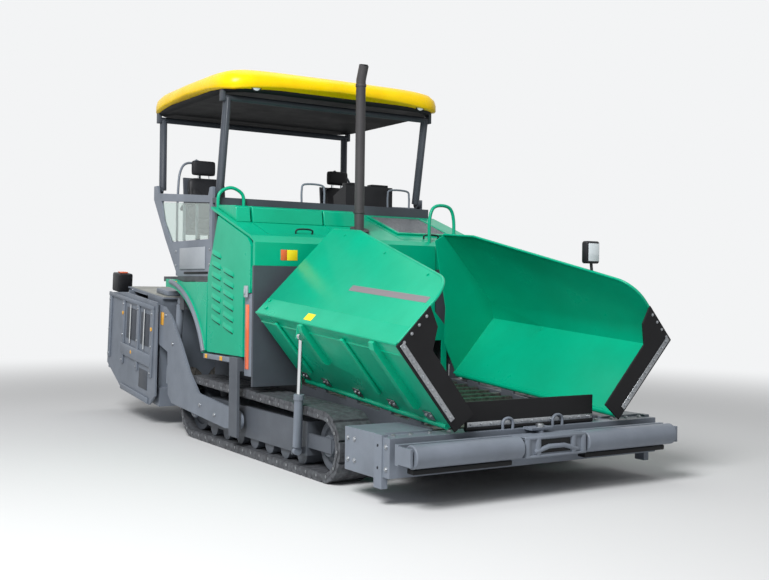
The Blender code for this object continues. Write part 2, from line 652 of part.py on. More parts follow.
def make_apron():
    """The apron across the hopper's mouth, hinged along its foot on the deck."""
    base = DECK_TOP + 0.018
    sheet = box((-APRON_HALF, APRON_Y - 0.01, base), (APRON_HALF, APRON_Y + 0.01, base + APRON_HEIGHT))
    tube_low = rod((-APRON_HALF, APRON_Y, base), (APRON_HALF, APRON_Y, base), 0.0177, 14)
    apron = fuse("front_apron", "rubber", sheet, tube_low)
    empty = pivot("apron_pivot", (0, APRON_Y, base))
    hang(empty, apron, built_at=empty.location)


# ---------------------------------------------------------------- engine bay
def hood_height(y):
    """Top of the sloping hood."""
    share = (y - HOOD_FRONT_Y) / (HOOD_REAR_Y - HOOD_FRONT_Y)
    return HOOD_FRONT_Z + share * (HOOD_REAR_Z - HOOD_FRONT_Z)


def hood_slab(y_low, y_high, x_low, x_high, name="piece", paint=None):
    outline = [
        (y_low, hood_height(y_low) - HOOD_SKIN),
        (y_high, hood_height(y_high) - HOOD_SKIN),
        (y_high, hood_height(y_high)),
        (y_low, hood_height(y_low)),
    ]
    return prism(outline, "X", x_low, x_high, name, paint)


def make_hood():
    """The fixed hood with its front wall, and a lid hinged at the back on either side of the spine."""
    front, rear = BULKHEAD_Y - BULKHEAD_WALL / 2, HOOD_REAR_Y
    outline = [
        (front, COWL_BOTTOM),
        (front + 0.03, COWL_BOTTOM),
        (front + 0.03, hood_height(HOOD_FRONT_Y) - 0.06),
        (HOOD_FRONT_Y + 0.02, hood_height(HOOD_FRONT_Y + 0.02) - HOOD_SKIN),
        (rear, HOOD_REAR_Z - HOOD_SKIN),
        (rear, HOOD_REAR_Z),
        (HOOD_FRONT_Y, HOOD_FRONT_Z),
        (front, HOOD_FRONT_Z - 0.06),
    ]
    shell = prism(outline, "X", -HOOD_HALF, HOOD_HALF)
    cutters = []
    for _, side in SIDES:
        xs = sorted((side * (LID_IN - CLEAR), side * (LID_OUT + CLEAR)))
        cutters.append(box((xs[0], LID_FRONT_Y - CLEAR, 1.7), (xs[1], LID_REAR_Y + 2 * CLEAR, 2.4)))
    cut(shell, *cutters)
    skirt = [side_prism(side, HOOD_HALF - 0.03, HOOD_HALF, [
        (front, COWL_BOTTOM), (front + 0.045, COWL_BOTTOM), (front + 0.045, HOOD_FRONT_Z - 0.04),
        (front, HOOD_FRONT_Z - 0.08)]) for _, side in SIDES]
    fuse("hood_frame", "green", shell, *skirt)
    for label, side in SIDES:
        xs = sorted((side * LID_IN, side * LID_OUT))
        slab = hood_slab(LID_FRONT_Y, LID_REAR_Y, *xs)
        hinge = (LID_REAR_Y, hood_height(LID_REAR_Y) - HOOD_SKIN / 2)
        reach = CLEAR - TOUCH
        lid = fuse(f"hood_lid_{label}", "green", slab, rod((xs[0] - reach, *hinge), (xs[1] + reach, *hinge), 0.010, 12))
        empty = pivot(f"hood_pivot_{label}", (side * LID_IN, *hinge))
        hang(empty, lid, built_at=empty.location)


def make_side_panels():
    """A louvred door and the fixed panel with the fender's edge behind it, on each side."""
    for label, side in SIDES:
        drop = HOOD_SKIN + CLEAR
        lean = 0.22
        outline = [
            (DOOR_FRONT_Y, DOOR_BOTTOM + 0.55),
            (DOOR_FRONT_Y + 0.14, DOOR_BOTTOM + 0.55),
            (DOOR_FRONT_Y + 0.14, DOOR_BOTTOM),
            (DOOR_REAR_Y, DOOR_BOTTOM),
            (DOOR_REAR_Y, FLOOR_Z + FLOOR_THICK),
            (DOOR_REAR_Y - lean, hood_height(DOOR_REAR_Y - lean) - drop),
            (HOOD_FRONT_Y + 0.04, hood_height(HOOD_FRONT_Y + 0.04) - drop),
            (DOOR_FRONT_Y, HOOD_FRONT_Z - 0.09),
        ]
        x_in = BODY_HALF - DOOR_SKIN
        hinge_x = side * (BODY_HALF - DOOR_SKIN / 2)
        parts = []
        for z in DOOR_HINGES_Z:
            parts.append(rod((hinge_x, DOOR_HINGE_Y, z), (hinge_x, DOOR_HINGE_Y, z + 0.10), DOOR_HINGE_RADIUS, 14))
            leaf = (DOOR_HINGE_Y, DOOR_FRONT_Y + 0.01), (z + 0.01, z + 0.09)
            parts.append(side_box(side, x_in + 0.011, BODY_HALF - 0.011, *leaf))
        door = fuse(f"side_door_{label}", "green", side_prism(side, x_in, BODY_HALF, outline), *parts)
        empty = pivot(f"door_pivot_{label}", (hinge_x, DOOR_HINGE_Y, DOOR_BOTTOM))
        hang(empty, door, built_at=empty.location)
        start, stop = 157, 95
        edge = arc(FENDER_CENTRE, FENDER_OUTER, start, stop, 12)
        top = FLOOR_Z - 0.003
        front = DOOR_REAR_Y + CLEAR
        panel_outline = [p for p in edge if p[0] > front + 0.005 and p[1] < top - 0.005]
        panel_outline += [(FENDER_CENTRE[0], top), (front, top)]
        panel = side_prism(side, BODY_HALF - DOOR_SKIN, BODY_HALF, panel_outline)
        band = arc(FENDER_CENTRE, FENDER_OUTER + 0.004, start, 88, 14)
        band += arc(FENDER_CENTRE, FENDER_OUTER - FENDER_BAND, 88, start, 14)
        tube_edge = side_prism(side, PLATFORM_HALF + 0.005, BODY_HALF + 0.01, band)
        fuse(f"rear_panel_{label}", "green", panel, tube_edge)


def make_exhaust():
    """The upright stack with its cut-back tip, on a flange on the hood's spine."""
    x, y = EXHAUST_X, EXHAUST_Y
    base = hood_height(y)
    slope = math.atan2(HOOD_REAR_Z - HOOD_FRONT_Z, HOOD_REAR_Y - HOOD_FRONT_Y)
    stack = tube([(x, y, base + 0.02), (x, y, EXHAUST_TOP - 0.16), (x, y - 0.05, EXHAUST_TOP - 0.03)], EXHAUST_RADIUS, 18)
    up = Vector((0, -math.sin(slope), math.cos(slope)))
    foot = Vector((x, y, base))
    flange = rod(foot + up * TOUCH, foot + up * 0.035, 0.09, 20)
    fuse("exhaust_stack", "dark_grey", stack, flange)


def make_engine():
    low = TUNNEL_TOP + TOUCH
    return box((-ENGINE_HALF, ENGINE_Y[0], low), (ENGINE_HALF, ENGINE_Y[1], ENGINE_TOP), "engine_block", "dark_grey")


# ---------------------------------------------------------------- platform
def make_platform():
    """The floor on its rear cross frame, the dash wall, the side walls and the console's rail."""
    top = FLOOR_Z + FLOOR_THICK
    floor = box((-PLATFORM_HALF, DASH_Y + TOUCH, FLOOR_Z), (PLATFORM_HALF, PLATFORM_REAR, top))
    rear_y = CHASSIS_REAR
    under = box((-SILL_HALF, rear_y - 0.16, TUNNEL_TOP + TOUCH), (SILL_HALF, rear_y, FLOOR_Z + 0.01))
    pieces = [under]
    pieces.append(box((-0.70, DASH_Y + 0.06, TUNNEL_TOP + TOUCH), (0.70, DASH_Y + 0.16, FLOOR_Z + 0.01)))
    for _, side in SIDES:
        pieces.append(side_box(side, 0.70, PLATFORM_HALF, (rear_y - 0.10, rear_y), (1.22, FLOOR_Z + 0.01)))
        pieces.append(side_box(side, LIFT_X - 0.035, LIFT_X - EYE_HALF - TOUCH, (rear_y - 0.01, LIFT_FOOT[0] + 0.03), (LIFT_FOOT[1] - 0.02, LIFT_FOOT[1] + 0.05)))
        pieces.append(side_box(side, 1.1503, BODY_HALF - DOOR_SKIN - TOUCH, (DASH_Y + TOUCH, 0.60), (FLOOR_Z - 0.08, FLOOR_Z + 0.01)))
    fuse("platform_floor", "dark_grey", floor, *pieces)

    low = hood_height(HOOD_REAR_Y) - 0.60
    wall = box((-PLATFORM_HALF, HOOD_REAR_Y + TOUCH, low), (PLATFORM_HALF, DASH_Y, DASH_TOP))
    rail = [box((-PLATFORM_HALF, HOOD_REAR_Y + TOUCH, DASH_TOP - 0.05), (PLATFORM_HALF, DASH_Y + DASH_WALL, DASH_TOP))]
    slide = box((-1.08, DASH_Y - 0.01, CONSOLE_RAIL_Z), (1.08, DASH_Y + 0.05, CONSOLE_RAIL_Z + 0.06))
    fuse("dash_wall", "dark_grey", wall, *rail, slide)

    for label, side in SIDES:
        foot = top + TOUCH
        outline = [
            (DASH_Y + 0.02, foot),
            (1.18, foot),
            (PLATFORM_REAR - 0.02, 1.94),
            (REAR_POST_FOOT[0] + 0.045, 2.36),
            (REAR_POST_FOOT[0] + 0.045, REAR_POST_FOOT[1] + 0.04),
            (REAR_POST_FOOT[0] - 0.045, REAR_POST_FOOT[1] + 0.04),
            (REAR_POST_FOOT[0] - 0.075, 2.42),
            (FRONT_POST_FOOT[0] + 0.09, 2.31),
            (FRONT_POST_FOOT[0] + 0.05, FRONT_POST_FOOT[1] + 0.045),
            (DASH_Y + DASH_WALL + 0.005, FRONT_POST_FOOT[1] + 0.045),
            (DASH_Y + DASH_WALL + 0.005, 1.80),
        ]
        x_in = PLATFORM_HALF - SIDE_WALL
        wall = side_prism(side, x_in, PLATFORM_HALF, outline)
        opening = [(DASH_Y + 0.13, 1.90), (1.36, 1.90), (1.58, 2.12), (1.66, 2.33), (DASH_Y + 0.13, 2.24)]
        cut(wall, side_prism(side, x_in - 0.1, PLATFORM_HALF + 0.1, opening))
        wall.name = f"side_wall_{label}"
        wall.data.materials.append(finish("grey"))


def make_seats():
    """A seat shell on its column and a padded cushion, on each side."""
    for label, side in SIDES:
        centre = Vector((side * SEAT_X, SEAT_Y, 0))
        floor = FLOOR_Z + FLOOR_THICK + TOUCH
        pan = SEAT_HEIGHT - 0.10
        column = rod(centre + Vector((0, 0, floor)), centre + Vector((0, 0, pan)), 0.06, 16)
        foot = rod(centre + Vector((0, 0, floor)), centre + Vector((0, 0, floor + 0.03)), 0.15, 20)
        shape = [(-0.24, pan - 0.04), (0.25, pan - 0.04), (0.32, SEAT_HEIGHT + 0.45), (0.29, SEAT_HEIGHT + 0.45), (0.235, pan), (-0.24, pan)]
        x_low, x_high = centre.x - 0.22, centre.x + 0.22
        shell = prism([(SEAT_Y + y, z) for y, z in shape], "X", x_low, x_high)
        frame = fuse(f"seat_frame_{label}", "dark_grey", column, foot, shell)
        soft = [
            (-0.23, pan + TOUCH),
            (0.232, pan + TOUCH),
            (0.284, SEAT_HEIGHT + 0.43),
            (0.20, SEAT_HEIGHT + 0.44),
            (0.13, SEAT_HEIGHT + 0.01),
            (-0.21, SEAT_HEIGHT + 0.02),
            (-0.25, SEAT_HEIGHT - 0.03),
        ]
        cushion = prism([(SEAT_Y + y, z) for y, z in soft], "X", x_low + 0.01, x_high - 0.01, f"seat_cushion_{label}", "seat")
        empty = pivot(f"seat_pivot_{label}", centre + Vector((0, 0, floor)))
        hang(empty, frame, cushion, built_at=empty.location)


def make_console():
    """The sliding control console that hangs on the rail behind the dash."""
    x_low, x_high = CONSOLE_X
    y_low, y_high = CONSOLE_Y
    outline = [
        (y_low, 2.00),
        (y_high - 0.06, 2.12),
        (y_high, 2.40),
        (y_low + 0.04, 2.50),
        (y_low, 2.50),
    ]
    body = prism(outline, "X", x_low, x_high)
    face = DASH_Y + 0.05 + TOUCH
    bracket = box((x_low + 0.10, face, CONSOLE_RAIL_Z + 0.005), (x_high - 0.10, y_low + 0.02, CONSOLE_RAIL_Z + 0.055))
    fuse("control_console", "black", body, bracket)


# ---------------------------------------------------------------- canopy
def post_frame(name, foot, top, hang_at):
    """Two posts that fold about their feet, joined by a tube under the roof."""
    half = POST_SIDE / 2
    foot, top = Vector((0, *foot)), Vector((0, *top))
    shapes = []
    for _, side in SIDES:
        across = Vector((side * (POST_X - 0.045), 0, 0))
        shapes.append(tube([foot + across, top + across], half * 1.1, 10))
        inner = Vector((side * (POST_X - 0.04), 0, 0))
        outer = Vector((side * (PLATFORM_HALF - SIDE_WALL - TOUCH), 0, 0))
        shapes.append(rod(foot + inner, foot + outer, 0.045, 16))
    shapes.append(rod(top - Vector((POST_X, 0, 0)), top + Vector((POST_X, 0, 0)), 0.03, 14))
    frame = fuse(name, "dark_grey", shapes[0], *shapes[1:])
    empty = pivot(hang_at, foot)
    hang(empty, frame, built_at=foot)


def roof_shape(inset):
    """The canopy's outer form, or the same form drawn in by inset and open below for its hollow."""
    rings = []
    for draw_in, front_in, rear_in, z in (
        (0.05, 0.05, 0.05, ROOF_LOW_Z),
        (0.00, 0.00, 0.00, ROOF_LOW_Z + 0.03),
        (0.02, 0.03, 0.03, ROOF_EDGE_Z + 0.03),
        (0.22, 0.24, 0.28, ROOF_CROWN_Z - 0.03),
        (0.50, 0.50, 0.55, ROOF_CROWN_Z),
    ):
        half = ROOF_HALF - draw_in - inset
        front, rear = ROOF_FRONT + front_in + inset, ROOF_REAR - rear_in - inset
        r = ROOF_CORNER
        quarter = [(half - r, front), (half - 0.3 * r, front + 0.3 * r), (half, front + r)]
        right_side = quarter + [(x, front + rear - y) for x, y in reversed(quarter)]
        ring = right_side + [(-x, y) for x, y in reversed(right_side)]
        rings.append([(x, y, z - inset) for x, y in ring])
    n = len(rings[0])
    faces = [list(range(n)), list(range(n * (len(rings) - 1), n * len(rings)))]
    for i in range(len(rings) - 1):
        faces += [(i * n + k, i * n + (k + 1) % n, (i + 1) * n + (k + 1) % n, (i + 1) * n + k) for k in range(n)]
    return solid([p for ring in rings for p in ring], faces)


def make_canopy():
    post_frame("canopy_front_posts", FRONT_POST_FOOT, FRONT_POST_TOP, "front_post_pivot")
    post_frame("canopy_rear_posts", REAR_POST_FOOT, REAR_POST_TOP, "rear_post_pivot")
    shell = cut(roof_shape(0), roof_shape(ROOF_SKIN))
    ears = []
    for _, side in SIDES:
        for y, z in (FRONT_POST_TOP, REAR_POST_TOP):
            x_in = POST_X + TOUCH
            ears.append(side_box(side, x_in, x_in + 0.02, (y - 0.035, y + 0.035), (z - 0.035, ROOF_EDGE_Z + 0.03)))
    roof = fuse("canopy_roof", "yellow", shell, *ears)
    empty = pivot("roof_pivot", (0, *FRONT_POST_TOP))
    hang(empty, roof, built_at=empty.location)


# ---------------------------------------------------------------- screed
def make_screed(lift):
    """The towed screed, drawn level and hung from the raised tow pivot with its arms and extensions."""
    tow_point = (0, TOW_Y, TOW_Z)
    half, wall = SCREED_HALF, SCREED_WALL
    base = box((-half, SCREED_FRONT, SCREED_SOLE), (half, SCREED_REAR, SCREED_BASE))
    nose = SCREED_FRONT + 0.05
    front = box((-half, nose, SCREED_BASE - 0.01), (half, nose + wall, SCREED_DECK))
    deck = box((-half, nose - 0.03, SCREED_DECK - wall), (half, EXTENSION_REAR + 0.12, SCREED_DECK))
    ribs = [
        box((x - wall / 2, nose, SCREED_BASE - 0.01), (x + wall / 2, SCREED_REAR, SCREED_DECK - 0.01))
        for x in (-half + wall / 2, -0.4, 0.4, half - wall / 2)
    ]
    frame = fuse("screed_frame", "grey", base, front, deck, *ribs)
    hang(lift, frame, built_at=tow_point)
    for label, side in SIDES:
        hang(lift, make_tow_arm(label, side), make_extension(label, side), built_at=tow_point)


def make_tow_arm(label, side):
    """A tow arm: a beam outside the track that rises in a gooseneck to the screed."""
    outline = arc((TOW_Y, TOW_Z), 0.075, 90, 270, 8)
    outline += [(-0.145, 0.17), (1.19, 0.13), (1.30, 0.20), (1.36, 0.62), (1.62, 0.66), (1.78, 0.80), (1.78, 1.06)]
    outline += [(1.50, 1.06), (1.30, 0.98), (1.02, 0.76), (0.76, 0.52), (0.505, 0.36)]
    web = side_prism(side, ARM_IN, ARM_OUT, outline)
    pin_y, pin_z = level_point(LIFT_EYE)
    lug = (pin_y - 0.03, pin_y + 0.03), (pin_z - 0.04, pin_z + 0.02)
    pieces = [side_box(side, LIFT_X + EYE_HALF + TOUCH, ARM_IN + 0.01, *lug)]
    pieces.append(side_box(side, ARM_IN, ARM_OUT, (1.16, 1.36), (0.30, pin_z + 0.04)))
    pieces.append(side_box(side, SCREED_HALF + TOUCH, ARM_IN + 0.01, (SCREED_FRONT + 0.06, 1.76), (0.70, 1.04)))
    return fuse(f"tow_arm_{label}", "grey", web, *pieces)


def make_extension(label, side):
    """A sliding extension behind the screed, hung under its deck, with step and end plate."""
    wall = SCREED_WALL
    x_in, x_out = 0.006, END_PLATE_IN + 0.005
    front, rear = SCREED_REAR + 0.006, EXTENSION_REAR
    roof = SCREED_DECK - wall - TOUCH
    base = side_box(side, x_in, x_out, (front, rear), (SCREED_SOLE, SCREED_BASE))
    pieces = [side_box(side, x_in, x_out, (rear - 0.08, rear - 0.08 + wall), (SCREED_BASE - 0.01, roof))]
    pieces.append(side_box(side, x_in, SCREED_HALF, (front + 0.01, rear - 0.07), (roof - wall, roof)))
    pieces.append(side_box(side, x_in, x_in + wall, (front + 0.01, rear - 0.07), (SCREED_BASE - 0.01, roof - 0.01)))
    pieces.append(side_box(side, x_in, x_out, (rear - 0.01, WALKWAY_REAR), (0.16, 0.19)))
    outline = [
        (1.56, 0.13),
        (1.72, SCREED_SOLE),
        (rear, SCREED_SOLE),
        (WALKWAY_REAR, 0.22),
        (WALKWAY_REAR, 1.03),
        (rear, 1.09),
        (1.62, 1.09),
    ]
    pieces.append(side_prism(side, END_PLATE_IN, END_PLATE_OUT, outline))
    return fuse(f"screed_extension_{label}", "grey", base, *pieces)


def level_point(raised):
    """Where a (y, z) point of the raised screed lies when it is drawn level."""
    y, z = raised[0] - TOW_Y, raised[1] - TOW_Z
    c, s = math.cos(SCREED_LIFT), math.sin(SCREED_LIFT)
    return TOW_Y + c * y + s * z, TOW_Z - s * y + c * z


def make_tow_brackets():
    """The blocks that slide on the tow posts and carry the arms' pins."""
    for label, side in SIDES:
        y = (TOW_Y - 0.06, TOW_Y + 0.06)
        z = (TOW_Z - 0.09, TOW_Z + 0.09)
        side_box(side, ARM_OUT + TOUCH, TOW_BRACKET_OUT, y, z, f"tow_bracket_{label}", "steel")


def make_lift_cylinders():
    for label, side in SIDES:
        foot = (side * LIFT_X, *LIFT_FOOT)
        eye = (side * LIFT_X, *LIFT_EYE)
        sizes = LIFT_BARREL_LENGTH, LIFT_BARREL_RADIUS, LIFT_ROD_RADIUS, 0.20, 0.30
        cylinder_pair(f"lift_cylinder_{label}", foot, eye, (1, 0, 0), *sizes)


# ---------------------------------------------------------------- augers
def make_auger(label, side):
    """A shaft with a screw flight, turning about its own axis."""
    length = AUGER_OUT - AUGER_IN
    steps = int(AUGER_TURNS * 16)
    points, faces = [], []
    for k in range(steps + 1):
        share = k / steps
        turn = side * 2 * math.pi * AUGER_TURNS * share
        x = side * (0.02 + (length - 0.04 - AUGER_FLIGHT) * share)
        for dx, radius in ((0, 0.03), (0, AUGER_RADIUS), (side * AUGER_FLIGHT, AUGER_RADIUS), (side * AUGER_FLIGHT, 0.03)):
            points.append((x + dx, radius * math.cos(turn), radius * math.sin(turn)))
    for k in range(steps):
        for j in range(4):
            a, b = 4 * k + j, 4 * k + (j + 1) % 4
            faces.append((a, b, b + 4, a + 4))
    faces += [(0, 1, 2, 3), tuple(4 * steps + j for j in range(4))]
    flight = solid(points, faces)
    shaft = rod((0, 0, 0), (side * length, 0, 0), 0.045, 16)
    auger = fuse(f"auger_{label}", "steel", shaft, flight)
    auger.location = (side * (AUGER_IN + TOUCH), AUGER_Y, AUGER_Z)


def make_auger_gearbox():
    """The chain case between the augers, hung on the rear of the chassis."""
    case = box((-AUGER_IN, AUGER_Y - 0.08, AUGER_Z - 0.12), (AUGER_IN, AUGER_Y + 0.08, 0.92))
    arm = box((-0.20, CHASSIS_REAR + TOUCH, TUNNEL_TOP - 0.24), (0.20, AUGER_Y, TUNNEL_TOP - 0.005))
    return fuse("auger_gearbox", "dark_grey", case, arm)


def clear_scene():
    for obj in list(bpy.data.objects):
        bpy.data.objects.remove(obj)


def main():
    clear_scene()
    make_crawler()
    make_chassis()
    make_bulkhead()
    make_hopper_wall()
    make_conveyors()
    for label, side in SIDES:
        make_wing(label, side)
        make_auger(label, side)
    make_front_beam()
    make_push_beam()
    make_apron()
    make_hood()
    make_side_panels()
    make_exhaust()
    make_engine()
    make_platform()
    make_seats()
    make_console()
    make_canopy()
    make_screed(pivot("screed_pivot", (0, TOW_Y, TOW_Z), SCREED_LIFT))
    make_tow_brackets()
    make_lift_cylinders()
    make_auger_gearbox()


main()
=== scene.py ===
# %% [markdown]
# # The looks of a tracked asphalt paver
# A paver lays hot asphalt. Its hopper is at -Y and its screed at +Y, and it runs on two steel tracks.
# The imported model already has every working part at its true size. This lesson gives each surface its
# real finish and adds the small pieces that no drawing of the working parts holds.

import json
import math

import bmesh
import bpy
import numpy as np
from mathutils import Matrix


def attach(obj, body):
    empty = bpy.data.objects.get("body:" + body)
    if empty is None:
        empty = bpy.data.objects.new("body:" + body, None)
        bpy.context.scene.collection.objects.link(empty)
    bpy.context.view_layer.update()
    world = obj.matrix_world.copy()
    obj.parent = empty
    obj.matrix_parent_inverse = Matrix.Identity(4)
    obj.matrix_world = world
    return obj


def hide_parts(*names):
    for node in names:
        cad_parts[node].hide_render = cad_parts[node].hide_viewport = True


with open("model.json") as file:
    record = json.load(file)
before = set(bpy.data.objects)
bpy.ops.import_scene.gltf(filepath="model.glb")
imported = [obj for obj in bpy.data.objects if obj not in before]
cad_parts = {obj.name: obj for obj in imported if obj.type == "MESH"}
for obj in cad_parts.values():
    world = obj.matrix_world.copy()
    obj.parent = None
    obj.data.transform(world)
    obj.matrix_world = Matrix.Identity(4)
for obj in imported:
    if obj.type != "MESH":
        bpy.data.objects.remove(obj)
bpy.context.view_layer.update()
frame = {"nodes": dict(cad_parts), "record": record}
nodes = frame["nodes"]
RIGHT, LEFT = -1, 1
SIDES = (("right", RIGHT), ("left", LEFT))

# %% [markdown]
# ## Two small tools for finishes
# Colours are written as on a paint chart, in hex, and Blender works in linear light, so one function
# turns them. Another adds a node with its settings and links, which keeps each finish short to read.


# %% Colour and node tools
def linear(code):
    """Linear light of a #rrggbb colour: each channel through the sRGB curve backwards."""
    channels = [int(code[i : i + 2], 16) / 255 for i in (1, 3, 5)]
    return tuple(c / 12.92 if c <= 0.04045 else ((c + 0.055) / 1.055) ** 2.4 for c in channels) + (1.0,)


def add(tree, kind, values=None, links=None, **settings):
    """Adds a node of that kind, sets its settings and socket values, and links its sockets."""
    node = tree.nodes.new(kind)
    for key, value in settings.items():
        setattr(node, key, value)
    for key, value in (values or {}).items():
        node.inputs[key].default_value = value
    for key, source in (links or {}).items():
        tree.links.new(source, node.inputs[key])
    return node


def shader_of(name, code, **sockets):
    """A material with that colour and those Principled sockets; returns it with its tree and shader."""
    material = bpy.data.materials.new(name)
    material.use_nodes = True
    tree = material.node_tree
    shader = tree.nodes["Principled BSDF"]
    shader.inputs["Base Color"].default_value = linear(code)
    for key, value in sockets.items():
        shader.inputs[key.replace("_", " ")].default_value = value
    return material, tree, shader


def mottle(tree, shader, light, dark, size, low=0.35, high=0.7, stretch=(1, 1, 1)):
    """Colour wanders between light and dark in soft patches of that size in metres."""
    place = add(tree, "ShaderNodeTexCoord")
    scaled = add(tree, "ShaderNodeMapping", {"Scale": stretch}, {"Vector": place.outputs["Object"]})
    noise = add(
        tree, "ShaderNodeTexNoise", {"Scale": 1 / size, "Detail": 5.0, "Roughness": 0.6},
        {"Vector": scaled.outputs["Vector"]},
    )
    ramp = add(tree, "ShaderNodeValToRGB", links={"Fac": noise.outputs["Fac"]})
    ramp.color_ramp.elements[0].position, ramp.color_ramp.elements[0].color = low, linear(light)
    ramp.color_ramp.elements[1].position, ramp.color_ramp.elements[1].color = high, linear(dark)
    tree.links.new(ramp.outputs["Color"], shader.inputs["Base Color"])
    return scaled, noise


def rough_patches(tree, shader, noise, low, high):
    """Gloss wanders with the same patches, between two roughnesses."""
    spread = add(
        tree, "ShaderNodeMapRange", {"From Min": 0.3, "From Max": 0.75, "To Min": low, "To Max": high},
        {"Value": noise.outputs["Fac"]},
    )
    tree.links.new(spread.outputs["Result"], shader.inputs["Roughness"])


def relief(tree, shader, height, depth, strength=1.0):
    """The surface rises by up to depth metres where height is 1."""
    bump = add(tree, "ShaderNodeBump", {"Strength": strength, "Distance": depth}, {"Height": height})
    tree.links.new(bump.outputs["Normal"], shader.inputs["Normal"])


# %% [markdown]
# ## Sprayed enamel
# The body panels are steel sprayed with gloss enamel. Enamel gives the eye three things: an even colour
# with a very slight drift, a gloss coat, and the orange-peel skin of sprayed paint, a few millimetres across.
# Its grain is drawn coarser than life so that it still shows from some metres away.


# %% Enamels
def enamel(name, light, dark, gloss_low, gloss_high, coat=0.05):
    """Sprayed paint: colour drift of half a metre, patches of gloss, 6 mm orange peel 0.1 mm high."""
    material, tree, shader = shader_of(
        name, light, Coat_Weight=coat, Coat_Roughness=0.12, Specular_IOR_Level=0.28
    )
    place, drift = mottle(tree, shader, light, dark, 0.5)
    rough_patches(tree, shader, drift, gloss_low, gloss_high)
    peel = add(
        tree, "ShaderNodeTexNoise", {"Scale": 1 / 0.006, "Detail": 2.0}, {"Vector": place.outputs["Vector"]}
    )
    relief(tree, shader, peel.outputs["Fac"], 0.0001, 0.5)
    return material


green_enamel = enamel("green_enamel", "#00AD86", "#00A17B", 0.26, 0.38)
slate_paint = enamel("slate_paint", "#7D8591", "#6D747E", 0.36, 0.5)
anthracite_paint = enamel("anthracite_paint", "#4A4F57", "#40444B", 0.4, 0.55, 0.03)
stack_paint = enamel("heatproof_stack_paint", "#4C4A4C", "#403E41", 0.45, 0.6, 0.0)
pale_paint = enamel("pale_grey_paint", "#A9AFB5", "#979DA4", 0.35, 0.5)
beam_paint = enamel("chassis_paint", "#5A5F67", "#4B5057", 0.45, 0.6)

# %% [markdown]
# ## Metals
# A conveyor is scoured bright by sand along its run, a cylinder rod is ground and chromed, and bolts are
# zinc plated. All three are metals, so their colour is the colour of what they mirror; they differ in how
# rough they are and in the direction of their scratches.


# %% Metals
def scoured_steel(name, light, dark, low, high, stretch):
    """Bare metal with scratches drawn out along one axis."""
    material, tree, shader = shader_of(name, light, Metallic=1.0)
    place, noise = mottle(tree, shader, light, dark, 0.04, stretch=stretch)
    rough_patches(tree, shader, noise, low, high)
    relief(tree, shader, noise.outputs["Fac"], 0.0004, 0.4)
    return material


conveyor_steel = scoured_steel("scoured_conveyor_steel", "#8F8B86", "#5D5A57", 0.35, 0.6, (1, 0.12, 1))
auger_steel = scoured_steel("cast_auger_steel", "#77746F", "#4B4946", 0.45, 0.7, (1, 1, 1))
plain_steel = scoured_steel("ground_steel", "#A3A5A8", "#84878A", 0.3, 0.45, (1, 1, 0.3))
chrome_rod, _, _ = shader_of("hard_chromed_rod", "#DADCDE", Metallic=1.0, Roughness=0.12)
zinc_plate, zinc_tree, zinc_shader = shader_of("zinc_plated_steel", "#A9ACB0", Metallic=0.9, Roughness=0.36)
mottle(zinc_tree, zinc_shader, "#B4B7BA", "#93979C", 0.015)
track_iron, track_tree, track_shader = shader_of("forged_track_iron", "#54565A", Metallic=0.3, Roughness=0.55)
_, track_noise = mottle(track_tree, track_shader, "#606368", "#3C3D41", 0.05)
rough_patches(track_tree, track_shader, track_noise, 0.42, 0.7)
relief(track_tree, track_shader, track_noise.outputs["Fac"], 0.0015, 0.5)

# %% [markdown]
# ## Rubber, plastics and glass
# Rubber scatters light widely and greys with dust. The canopy is a moulded shell of gloss plastic coloured
# right through. Lenses are moulded too, and are deeper in colour than paint because light goes into them.


# %% Rubber, plastics and glass
def moulded(name, light, dark, low, high, grain=0.0025, depth=0.0002):
    """Moulded surface: soft drift of colour and a fine grain."""
    material, tree, shader = shader_of(name, light, Specular_IOR_Level=0.25)
    place, noise = mottle(tree, shader, light, dark, 0.25)
    rough_patches(tree, shader, noise, low, high)
    pores = add(
        tree, "ShaderNodeTexNoise", {"Scale": 1 / grain, "Detail": 1.0}, {"Vector": place.outputs["Vector"]}
    )
    relief(tree, shader, pores.outputs["Fac"], depth, 0.6)
    return material


rubber = moulded("ribbed_black_rubber", "#151517", "#1E1E20", 0.6, 0.8, 0.004, 0.0005)
shell_yellow = moulded("yellow_moulded_shell", "#FFD800", "#FACB00", 0.22, 0.34, 0.01, 0.00005)
# Near black for the canopy's liner, the stack's soot and the lever grips; also painted shade in the door and
# wall slots, the push pocket and under the rollers.
black_and_painted_shade = moulded("black_liner_and_painted_shade", "#101113", "#17181A", 0.5, 0.65)
black_plastic = moulded("black_abs_housing", "#1C1D20", "#26272A", 0.35, 0.5)
seat_vinyl = moulded("black_seat_vinyl", "#202124", "#2A2B2F", 0.42, 0.58, 0.003, 0.0006)
amber_lens, _, _ = shader_of("amber_lens", "#E8A712", Roughness=0.18, Coat_Weight=0.6, IOR=1.49)
orange_lens, _, _ = shader_of("orange_reflector", "#E9652E", Roughness=0.25, Coat_Weight=0.5, IOR=1.49)
yellow_film, _, _ = shader_of("yellow_vinyl_film", "#F6DA1E", Roughness=0.35)
grey_film, _, _ = shader_of("warm_grey_vinyl_film", "#7C767B", Roughness=0.4)
lamp_glass, _, _ = shader_of("frosted_lamp_glass", "#DCE6EA", Roughness=0.1, Coat_Weight=1.0, IOR=1.5)
screen_glass, _, _ = shader_of("dark_screen_glass", "#16202A", Roughness=0.06, Coat_Weight=1.0)
pane_glass, _, _ = shader_of(
    "tinted_window_glass", "#DCEBE6", Roughness=0.02, Transmission_Weight=0.85, IOR=1.45
)

# %% [markdown]
# ## Tread plate and grating
# What people stand on is rolled with raised bars, or is mesh. The bars are a real size, 30 mm apart, and
# come from two crossed waves, so they need no mesh of their own.


